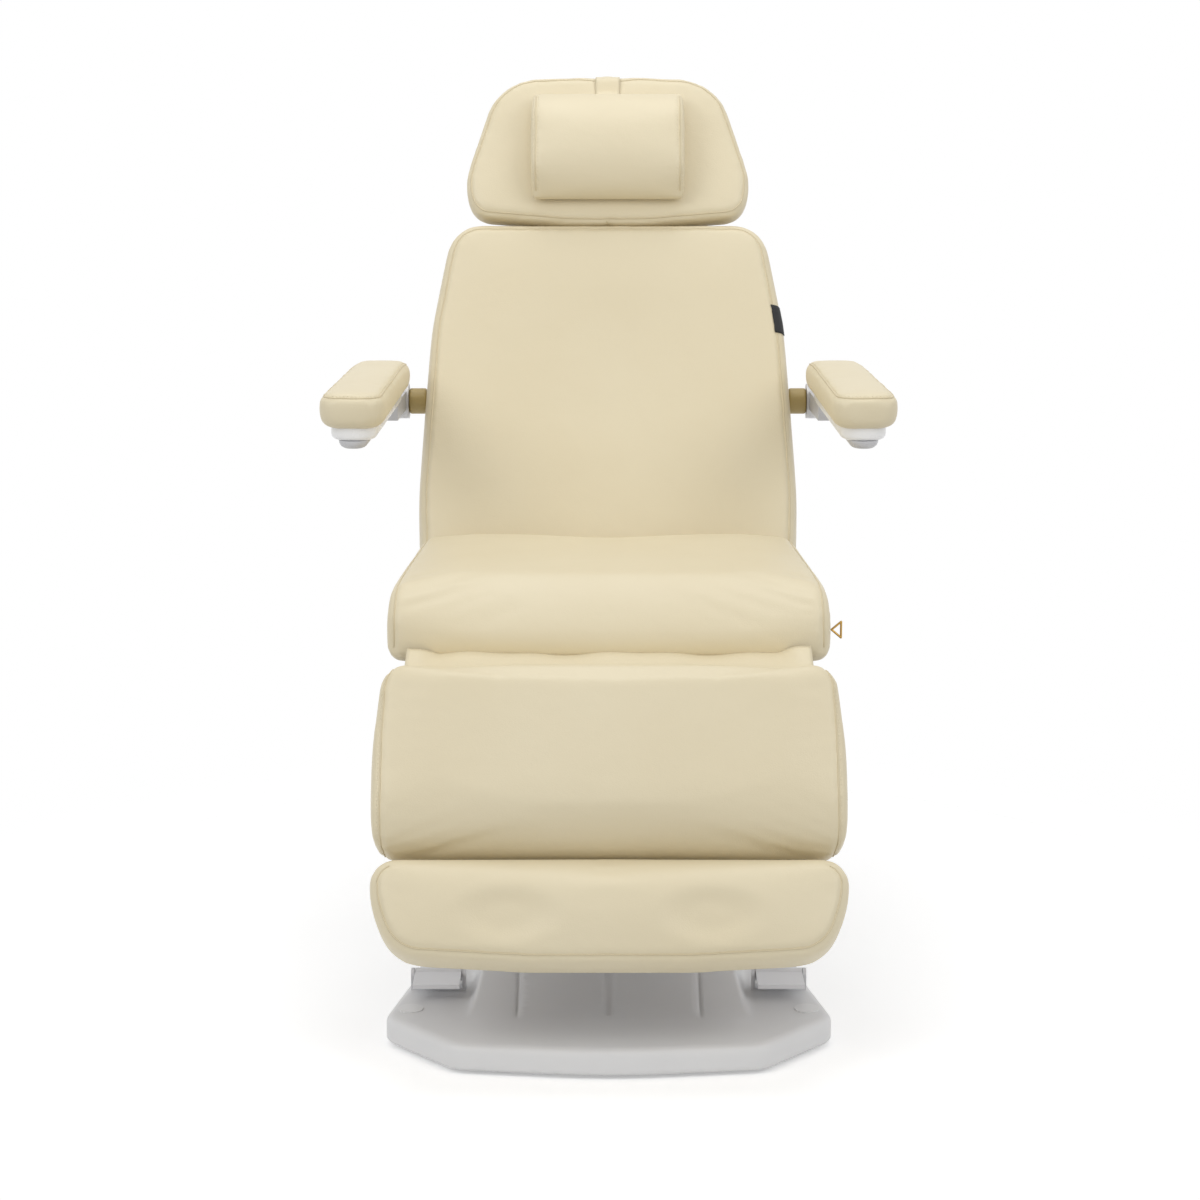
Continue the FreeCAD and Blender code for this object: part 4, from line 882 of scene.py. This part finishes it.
def make_head():
    """Head pad, with a short seam down the middle of its near end and a dent under the strap."""
    edges = (HEAD_ROUND, HEAD_GROW, HEAD_UNDER)
    pad, low, high, seams = plan_pad("head_pad", "head_cushion", BACK_TURN, HEAD_SHAPE, *edges)
    rim_height = seams[0][0][2]
    heights = np.linspace(rim_height - HEAD_ROUND, rim_height, HEAD_SEAM_POINTS)
    seams.append(np.array([(0, low.y + SIDE_IN, z) for z in heights]))
    fill_pad(pad, SWELL, low.z, seams)
    strap_low, strap_high = flat_box("pillow_strap", BACK_TURN)
    wide = strap_high.x
    lower(pad, lambda x, y: STRAP_DENT * hollow(np.abs(x) - wide, y - high.y, wide, STRAP_DENT_LONG))
    refine(pad)
    make_strap(pad, strap_low, strap_high)
    settle(pad, sew(pad, "head", seams), BACK_TURN, "head", "head_cushion")


STRAP_LIFT = 0.0014
STRAP_THICK = 0.0018
STRAP_ARCH = 0.004
STRAP_ARCH_LONG = 0.02
STRAP_CLIMB = Vector((0, -0.003, 0.0045))
STRAP_CLIMB_ROWS = 4
STRAP_STEP = 0.004
STRAP_COLUMNS = 9


def make_strap(pad, low, high):
    """Flat strap that goes round the far end of the head pad, over its top, and up into the pillow."""
    profile = [(low.y, low.z), (high.y, low.z), (high.y, high.z), (low.y, high.z)]
    ends = [Vector((0, y, z)) for y, z in profile]
    route = []
    for start, goal in zip(ends, ends[1:]):
        pieces = max(2, int((goal - start).length / STRAP_STEP))
        route += [start.lerp(goal, k / pieces) for k in range(pieces)]
    route.append(ends[-1])
    columns = np.linspace(-high.x, high.x, STRAP_COLUMNS)
    points = []
    for place in route:
        line, normals = on_surface(pad, [(x, place.y, place.z) for x in columns])
        line[:, 0] = columns
        arch = STRAP_ARCH * hollow(place.y - high.y, place.z - high.z, STRAP_ARCH_LONG, STRAP_ARCH_LONG)
        points.append(line + normals * (STRAP_LIFT + arch))
    for _ in range(STRAP_CLIMB_ROWS):
        points.append(points[-1] + np.array(STRAP_CLIMB))
    strap = strip_mesh("strap", points, STRAP_THICK)
    strap.data.transform(BACK_TURN)
    dress(strap, "vinyl")
    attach(strap, "head")
    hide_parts("pillow_strap")


PILLOW_TOP = 0.052
PILLOW_TOP_ROUND = 0.06
PILLOW_FOOT_ROUND = 0.012
PILLOW_GROW = (0.017, 0.008)
PILLOW_END_ROUND = 0.006
PILLOW_SEAM_IN = 0.008
PILLOW_ROW = 0.004


def make_pillow():
    """Half-round pillow: a bowed face between two end panels, each sewn on with a double row."""
    low, high = flat_box("head_pillow", BACK_TURN)
    low.y -= PILLOW_GROW[0]
    high.y += PILLOW_GROW[1]
    middle = (low.y + high.y) / 2
    shrink = SWELL / 3
    profile = [
        (low.y + shrink, low.z, PILLOW_FOOT_ROUND),
        (high.y - shrink, low.z, PILLOW_FOOT_ROUND),
        (middle + PILLOW_TOP, high.z - shrink, PILLOW_TOP_ROUND),
        (middle - PILLOW_TOP, high.z - shrink, PILLOW_TOP_ROUND),
    ]
    ends = (low.x + shrink, high.x - shrink, PILLOW_END_ROUND, PILLOW_END_ROUND)
    pad = rounded_form("pillow", profile, *ends, axis="x")
    points, _ = outline(profile, SEAM_STEP)
    above = points[points[:, 1] > low.z + 2 * PILLOW_FOOT_ROUND]
    order = np.argsort(-above[:, 0])
    seams = side_seams(above[order], (low.x + PILLOW_SEAM_IN, high.x - PILLOW_SEAM_IN))
    fill_pad(pad, SWELL / 2, low.z, seams)
    refine(pad)
    rows = [-PILLOW_ROW, PILLOW_ROW]
    settle(pad, sew(pad, "pillow", seams, rows), BACK_TURN, "head", "head_pillow")


SEAT_WRAP = 0.014
SEAT_FRONT_IN = 0.006
SEAT_LOW_ROUND = 0.02
SEAT_REAR_SHARE = 0.918
SEAT_FRONT_ROUND = 0.06
SEAT_ROLL = 0.15
SEAT_ROLL_DROP = 0.02
SEAT_REAR_ROUND = 0.022
SEAT_REAR_LEAN = 0.046
SEAT_REAR_TIP = 0.012
SEAT_DISH = 0.006
SEAT_DISH_WIDE = 0.10
SEAT_DISH_LONG = 0.12
SEAT_HINGE_REACH = 0.02
SEAT_HINGE_SIDE = 0.262


def make_seat():
    """Seat pad: one panel that falls over the front, between two side panels.
    It is cut away over the leg hinges, its top rolls down towards the front, and it narrows towards the
    rear."""
    low, high = flat_box("seat_cushion", LEVEL)
    low.z -= SEAT_WRAP
    top = high.z - TOP_IN
    front = low.y + SEAT_FRONT_IN
    rear = high.y + SEAT_REAR_TIP - SIDE_IN
    profile = [
        (front, low.z, SEAT_LOW_ROUND),
        (rear - SEAT_REAR_LEAN, low.z, SEAT_LOW_ROUND),
        (rear, top, SEAT_REAR_ROUND),
        (front, top, SEAT_FRONT_ROUND),
    ]
    half = high.x - SIDE_IN
    pad = rounded_form("seat_pad", profile, -half, half, PAD_ROUND, PAD_ROUND, axis="x")
    points, normals = outline(profile, SEAM_STEP)
    line = points - normals * PAD_ROUND * SEAM_DOWN
    above = line[line[:, 1] > low.z + PAD_ROUND]
    order = np.argsort(-np.unwrap(np.arctan2(above[:, 1] - low.z, above[:, 0] - (front + rear) / 2)))
    seam_x = half - PAD_ROUND * SEAM_IN
    seams = side_seams(above[order], (seam_x, -seam_x))
    roll = (front + SEAT_ROLL, front, SEAT_ROLL_DROP, low.z, top)
    narrow = (0, low.y, high.y, SEAT_REAR_SHARE)
    set_points(pad, taper(roll_down(points_of(pad), *roll), *narrow))
    seams = [taper(roll_down(path, *roll), *narrow) for path in seams]
    fill_pad(pad, SWELL, low.z, seams)
    lower(pad, lambda x, y: SEAT_DISH * hollow(x, y - high.y, SEAT_DISH_WIDE, SEAT_DISH_LONG))
    clear_hinge(pad, "leg_raise", SEAT_HINGE_REACH, SEAT_HINGE_SIDE)
    refine(pad)
    sewing = sew(pad, "seat", seams)
    settle(pad, sewing, LEVEL, "seat", "seat_cushion")
    for piece in [pad] + sewing:
        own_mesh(piece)


LEG_SHAPE = [(1.0, 0.0, 0.034), (1.0, 0.55, 0.4), (0.968, 0.975, 0.036), (0.4, 1.0, 0.6)]
LEG_ROUND = 0.016
LEG_GROW = (0.0, 0.014)
LEG_ROLL = 0.085
LEG_ROLL_DROP = 0.054
LEG_SEAM_IN = 0.011
LEG_ROW = 0.0035


def make_leg():
    """Leg pad: one panel that wraps over both ends, stitched to a side panel along each edge.
    Its far end rolls down."""
    pad, low, high, _ = plan_pad("leg_pad", "leg_cushion", LEG_TURN, LEG_SHAPE, LEG_ROUND, LEG_GROW)
    top = high.z - TOP_IN
    near = high.y - SIDE_IN
    far = low.y + SIDE_IN
    low_end = low.z + PAD_ROUND / 2
    path = [(far, low_end)]
    path += [(far + LEG_ROUND * (1 - math.cos(a)), top - LEG_ROUND * (1 - math.sin(a))) for a in QUARTER]
    level = np.arange(far + LEG_ROUND, near - LEG_ROUND, VOXEL)[1:]
    path += [(y, top) for y in level]
    path += [(near - LEG_ROUND * (1 - math.sin(a)), top - LEG_ROUND * (1 - math.cos(a))) for a in QUARTER]
    path.append((near, low_end))
    side = high.x - SIDE_IN - LEG_SEAM_IN
    seams = side_seams(np.array(path), (side, -side))
    reach = (far + LEG_ROLL, far, LEG_ROLL_DROP, low.z, top)
    set_points(pad, roll_down(points_of(pad), *reach))
    seams = [roll_down(line, *reach) for line in seams]
    fill_pad(pad, SWELL, low.z, seams)
    refine(pad)
    sewing = sew(pad, "leg", seams[:1], [LEG_ROW]) + sew(pad, "leg_left", seams[1:], [-LEG_ROW])
    settle(pad, sewing, LEG_TURN, "leg", "leg_cushion")


FOOT_SHAPE = [(0.35, 0.0, 0.3), (0.9, 0.07, 0.06), (1.0, 0.55, 0.15), (1.0, 1.0, 0.034)]
FOOT_SEAM_END = 0.012
HEEL_X = 0.131
HEEL_SHARE = 0.44
HEEL_DEEP = 0.0075
HEEL_WIDE = 0.08
HEEL_LONG = 0.042


def make_foot():
    """Foot pad, sewn along its sides and far end, with a hollow for each heel."""
    pad, low, high, rims = plan_pad("foot_pad", "foot_cushion", LEG_TURN, FOOT_SHAPE)
    seams = [open_rim(rims[0], high.y - FOOT_SEAM_END)]
    fill_pad(pad, SWELL, low.z, seams)
    heel = low.y + HEEL_SHARE * (high.y - low.y)
    lower(pad, lambda x, y: HEEL_DEEP * bowl(np.abs(x) - HEEL_X, y - heel, HEEL_WIDE, HEEL_LONG))
    refine(pad)
    settle(pad, sew(pad, "foot", seams), LEG_TURN, "foot", "foot_cushion")


FLAP_HALF = 0.272
FLAP_SEAT = Vector((0, -0.267, 0.522))
FLAP_LEG = Vector((0, -0.353, 0.5134))
FLAP_SAG = 0.004
FLAP_WAVE = 0.002
FLAP_WAVES = [(31, 0.6, 1.0), (67, 2.0, 0.6)]
FLAP_THICK = 0.0014
FLAP_EAR_AT = 0.225
FLAP_EAR_RISE = 0.009
FLAP_EAR_OUT = 0.013
FLAP_EAR_STEEP = 1.6
FLAP_ROWS = 13
FLAP_COLUMNS = 91


def make_flap():
    """Loose strip of vinyl across the gap between the seat and the leg pad. Its ends stand up a little."""
    points = []
    for share in np.linspace(0, 1, FLAP_ROWS):
        place = FLAP_SEAT.lerp(FLAP_LEG, share)
        sag = FLAP_SAG * math.sin(math.pi * share)
        for x in np.linspace(-FLAP_HALF, FLAP_HALF, FLAP_COLUMNS):
            wave = sum(size * math.sin(pitch * x + shift) for pitch, shift, size in FLAP_WAVES)
            past = (abs(x) - FLAP_EAR_AT) / (FLAP_HALF - FLAP_EAR_AT)
            ear = ease(max(0.0, min(1.0, past * FLAP_EAR_STEEP)) * (1 - share))
            height = place.z - sag + FLAP_WAVE * (1 - share) * wave + ear * FLAP_EAR_RISE
            points.append((x, place.y - ear * FLAP_EAR_OUT, height))
    flap = add_mesh("flap", points, grid_faces(FLAP_ROWS, FLAP_COLUMNS))
    modify(flap, "SOLIDIFY", thickness=FLAP_THICK)
    smooth(flap)
    dress(flap, "vinyl")
    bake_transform(flap)


SLEEVE_ROUND = 0.004
SLEEVE_FLAT = 0.0001
SLEEVE_STEP = 0.004


def make_sleeves():
    """Vinyl sleeves on the arm shaft, between the back and the arm brackets, in a vinyl painted darker as
    the shade they sit in.
    """
    low, high = flat_box("arm_sleeves", BACK_TURN)
    points = points_of(frame["nodes"]["arm_sleeves"])
    inner = np.abs(points[:, 0]).min()
    corner = (high.z - low.z) / 2 - SLEEVE_FLAT
    corners = [(low.y, low.z), (high.y, low.z), (high.y, high.z), (low.y, high.z)]
    profile = [(y, z, corner) for y, z in corners]
    rounds = (SLEEVE_ROUND, SLEEVE_ROUND)
    for side, word in SIDES:
        start, end = sorted((side * inner, side * high.x))
        sleeve = rounded_form(word + "_sleeve", profile, start, end, *rounds, axis="x", step=SLEEVE_STEP)
        smooth(sleeve)
        # The sleeves take the vinyl painted darker as shade.
        settle(sleeve, [], BACK_TURN, "back", "arm_sleeves", material=SHADED_SLEEVE_VINYL)


# Arms
ARM_CORNER = 0.03
ARM_SWELL = 0.005
ARM_TOP_ROUND = 0.015
ARM_LOW_ROUND = 0.02
ARM_SEAM_ANGLE = math.radians(50)
ARM_ROW = 0.003
ARM_LAP = 0.007
ARM_WIDEN = 0.003
ARM_REAR_SHARE = 0.87
ARM_ROLL = 0.12
ARM_ROLL_DROP = 0.012
SHELL_IN = 0.007
SHELL_THICK = 0.024
SHELL_ROUND = 0.008
SHELL_RIM = 0.002
SHELL_STEP = 0.006
BELLY_WIDE = 0.042
BELLY_FRONT = 0.008
BELLY_REAR = 0.05
BELLY_FLAT = 0.001
BELLY_RIM = 0.0005
BELLY_RISE_AT = 0.35
BELLY_RISE = 0.85


def make_arm(side, word):
    """A padded arm with its shell, both drawn in towards the rear."""
    turn = arm_turn(side)
    low, high = flat_box(word + "_arm_pad", turn)
    narrow = ((low.x + high.x) / 2, low.y, high.y, ARM_REAR_SHARE)
    make_arm_pad(word, turn, narrow)
    make_arm_shell(word, turn, narrow)


def make_arm_pad(word, turn, narrow):
    """Pad that laps over the rim of its shell, sewn round its upper face."""
    low, high = flat_box(word + "_arm_pad", turn)
    low.z -= ARM_LAP
    plan = box_plan(low, high, -ARM_WIDEN, ARM_CORNER)
    top = high.z - ARM_SWELL
    rounds = (ARM_LOW_ROUND, ARM_TOP_ROUND)
    pad = rounded_form(word + "_arm_pad_soft", plan, low.z, top, *rounds, ARM_SWELL / 3)
    seam_in = ARM_TOP_ROUND * (1 - math.cos(ARM_SEAM_ANGLE))
    seam_drop = ARM_TOP_ROUND * (1 - math.sin(ARM_SEAM_ANGLE))
    roll = (high.y - ARM_ROLL, high.y, ARM_ROLL_DROP, low.z, top)
    set_points(pad, taper(roll_down(points_of(pad), *roll), *narrow))
    seams = [taper(roll_down(rim(plan, seam_in, top - seam_drop), *roll), *narrow)]
    fill_pad(pad, ARM_SWELL, low.z, seams)
    refine(pad)
    sewing = sew(pad, word + "_arm", seams, [-ARM_ROW])
    settle(pad, sewing, turn, word + "_arm", word + "_arm_pad")


def make_arm_shell(word, turn, narrow):
    """White shell under the pad, with a belly that thins out towards the rear, painted grey as the shade
    under the shell.
    """
    low, high = flat_box(word + "_arm_shell", turn)
    shell_low = high.z - SHELL_THICK
    plan = box_plan(low, high, SHELL_IN, ARM_CORNER)
    ends = (shell_low, high.z, SHELL_ROUND, SHELL_RIM)
    shell = rounded_form(word + "_shell", plan, *ends, step=SHELL_STEP)
    set_points(shell, taper(points_of(shell), *narrow))
    middle = (low.x + high.x) / 2
    belly_low = Vector((middle - BELLY_WIDE / 2, low.y + BELLY_FRONT, low.z))
    belly_high = Vector((middle + BELLY_WIDE / 2, high.y - BELLY_REAR, shell_low))
    plan = box_plan(belly_low, belly_high, 0, BELLY_WIDE / 2 - BELLY_FLAT)
    ends = (low.z, shell_low, shell_low - low.z - BELLY_FLAT, BELLY_RIM)
    belly = rounded_form(word + "_belly", plan, *ends, step=SHELL_STEP)
    points = points_of(belly)
    share = np.clip((points[:, 1] - belly_low.y) / (belly_high.y - belly_low.y), 0, 1)
    rise = np.clip((share - BELLY_RISE_AT) / (1 - BELLY_RISE_AT), 0, 1) ** 2
    points[:, 2] = shell_low + (points[:, 2] - shell_low) * (1 - BELLY_RISE * rise)
    set_points(belly, points)
    # The belly takes a grey slot as painted shade on the underside of the white shell.
    for piece, slot in ((shell, "white_shell"), (belly, "grey_metal")):
        smooth(piece)
        piece.data.transform(turn)
        dress(piece, slot)
        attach(piece, word + "_arm")
    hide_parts(word + "_arm_shell")


# Base
BASE_PLAN = [(0.68, 0.959, 0.04), (1.01, 0.737, 0.04), (0.897, 0.363, 0.2)]
BASE_BOW = (1.009, 0.6)
BASE_ROUND = 0.011
BASE_LOW_ROUND = 0.002
BASE_STEP = 0.008
BASE_RELAX = 4
BASE_VOXEL = 0.003
BASE_KEPT = 0.25
RAMP_FOOT = 0.383
RAMP_TOP = 0.150
FLANK_FOOT = 0.192
FLANK_TOP = 0.160
STRIP_HALF = 0.013
STRIP_TIP_HALF = 0.006
STRIP_START = 0.367
CREASE_X = 0.125
CREASE_HALF = 0.007
CREASE_FADE = 0.15
MOULD_DEEP = 0.0045
INLET_PLAY = 0.001
INLET_DEEP = 0.025
WELL_PLAY = 0.002
WELL_CORNER = 0.004
WELL_ROUND = 0.0005


def base_outline(half, end):
    """Plan of the base, the same at both ends, each slightly bowed."""
    front = [(half * a, -end * b, radius) for a, b, radius in BASE_PLAN]
    rear = [(a, -b, radius) for a, b, radius in reversed(front)]
    bow, bow_round = BASE_BOW
    right = [(0, -end * bow, bow_round)] + front + rear + [(0, end * bow, bow_round)]
    return right + [(-a, b, radius) for a, b, radius in reversed(right[1:-1])]


def cut_well(cover, bottom, top):
    """Cuts a well for the lift column right through the base."""
    plan = box_plan(*[Vector(corner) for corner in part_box("column_outer")], -WELL_PLAY, WELL_CORNER)
    well = rounded_form("well", plan, bottom, top, WELL_ROUND, WELL_ROUND)
    modify(cover, "BOOLEAN", operation="DIFFERENCE", object=well)
    bpy.data.objects.remove(well)


def make_base_cover():
    """Moulded base: a low slab that ramps up to a well for the lift column, with a channel and creases."""
    low, high = flat_box("base_cover", LEVEL)
    slab_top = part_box("pedal_brackets")[0][2]
    plan = base_outline(high.x, high.y)
    rounds = (BASE_LOW_ROUND, BASE_ROUND)
    cover = rounded_form("base_moulding", plan, low.z, slab_top, *rounds, step=BASE_STEP)
    modify(cover, "REMESH", mode="VOXEL", voxel_size=BASE_VOXEL)
    points = points_of(cover)
    top_side = np.clip(normals_of(cover)[:, 2] * 2 - 1, 0, 1)
    across = np.abs(points[:, 0])
    away = np.abs(points[:, 1])
    ramp = between(away, RAMP_FOOT, RAMP_TOP)
    flank = between(across, FLANK_FOOT, FLANK_TOP)
    points[:, 2] += (high.z - slab_top) * np.minimum(ramp, flank) * top_side
    set_points(cover, points)
    modify(cover, "SMOOTH", iterations=BASE_RELAX)

    points = points_of(cover)
    along_ramp = np.clip((RAMP_FOOT - away) / (RAMP_FOOT - RAMP_TOP), 0, 1)
    strip_half = STRIP_TIP_HALF + (STRIP_HALF - STRIP_TIP_HALF) * along_ramp
    past_tip = np.clip(away - STRIP_START + strip_half, 0, None)
    strip = between(np.hypot(across, past_tip), strip_half, strip_half - BASE_VOXEL)
    crease_half = np.maximum(CREASE_HALF * along_ramp, BASE_VOXEL)
    crease = between(np.abs(across - CREASE_X), crease_half, 0) * between(along_ramp, 0, CREASE_FADE)
    points[:, 2] -= MOULD_DEEP * np.maximum(strip, crease) * top_side

    inlet_low, inlet_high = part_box("power_inlet")
    beside = across < inlet_high[0] + INLET_PLAY
    level = (points[:, 2] > inlet_low[2] - INLET_PLAY) & (points[:, 2] < inlet_high[2] + INLET_PLAY)
    pocket = beside & level & (points[:, 1] > high.y - INLET_DEEP)
    points[pocket, 1] = high.y - INLET_DEEP
    set_points(cover, points)
    modify(cover, "DECIMATE", ratio=BASE_KEPT)
    cut_well(cover, low.z - WELL_PLAY, high.z + WELL_PLAY)
    smooth(cover)
    dress(cover, "base_plastic")
    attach(cover, "base")
    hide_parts("base_cover")


# Stage
EYE = Vector((-0.012, -3.83, 1.3))
EYE_PITCH = 11.2
LENS = 81.0
SENSOR = 36
FLOOR_HALF = 3.0
FLOOR_CLEAR = 0.5
FLOOR_GONE = 1.3
FLOOR_GLOW = 0.3


def make_stage():
    """White floor that takes the shadow and fades out round the chair."""
    corners = [(FLOOR_HALF * x, FLOOR_HALF * y, 0) for x, y in ((-1, -1), (1, -1), (1, 1), (-1, 1))]
    floor = add_mesh("floor", corners, [(0, 1, 2, 3)])
    colours = (screen(250, 250, 250), screen(247, 247, 247))
    pale = Surface("floor_white", *colours, mottle_scale=2, roughness=0.9)
    pale.fade(FLOOR_CLEAR, FLOOR_GONE)
    pale.glow_to_camera(FLOOR_GLOW)
    floor.data.materials.append(pale.material)


SKY = 0.55


def make_world():
    """White to look at, and a plain level of light from all round."""
    world = bpy.data.worlds.new("studio")
    SCENE.world = world
    world.use_nodes = True
    tree = world.node_tree
    level = add_node(tree, "MapRange", {"Value": direct_rays(tree), "To Min": SKY, "To Max": 1.0})
    feed(tree, tree.nodes["Background"], {"Color": WHITE, "Strength": level["Result"]})


# Name, place, size and power of each lamp
LAMPS = [
    ("left", (-2.5, -2.4, 2.7), 1.8, 34),
    ("right", (2.5, -2.4, 2.6), 1.8, 29),
    ("top", (0.0, 0.2, 3.4), 2.2, 25),
]


def make_lamps():
    target = (Vector(cad_box[0]) + Vector(cad_box[1])) / 2
    for name, place, size, power in LAMPS:
        light = bpy.data.lights.new(name, "AREA")
        light.shape = "SQUARE"
        light.size = size
        light.energy = power
        lamp = add_object(name, light)
        lamp.location = place
        lamp.rotation_euler = (target - Vector(place)).to_track_quat("-Z", "Y").to_euler()


def make_camera():
    data = bpy.data.cameras.new("camera")
    data.lens = LENS
    data.sensor_width = SENSOR
    camera = add_object("camera", data)
    camera.location = EYE
    camera.rotation_euler = (math.radians(90 - EYE_PITCH), 0, 0)
    SCENE.camera = camera


SCENE.view_settings.view_transform = "Standard"
dress_nodes()
make_seat()
make_back()
make_head()
make_pillow()
make_leg()
make_foot()
make_flap()
make_sleeves()
for arm_side, arm_word in SIDES:
    make_arm(arm_side, arm_word)
make_base_cover()
make_stage()
make_world()
make_lamps()
make_camera()
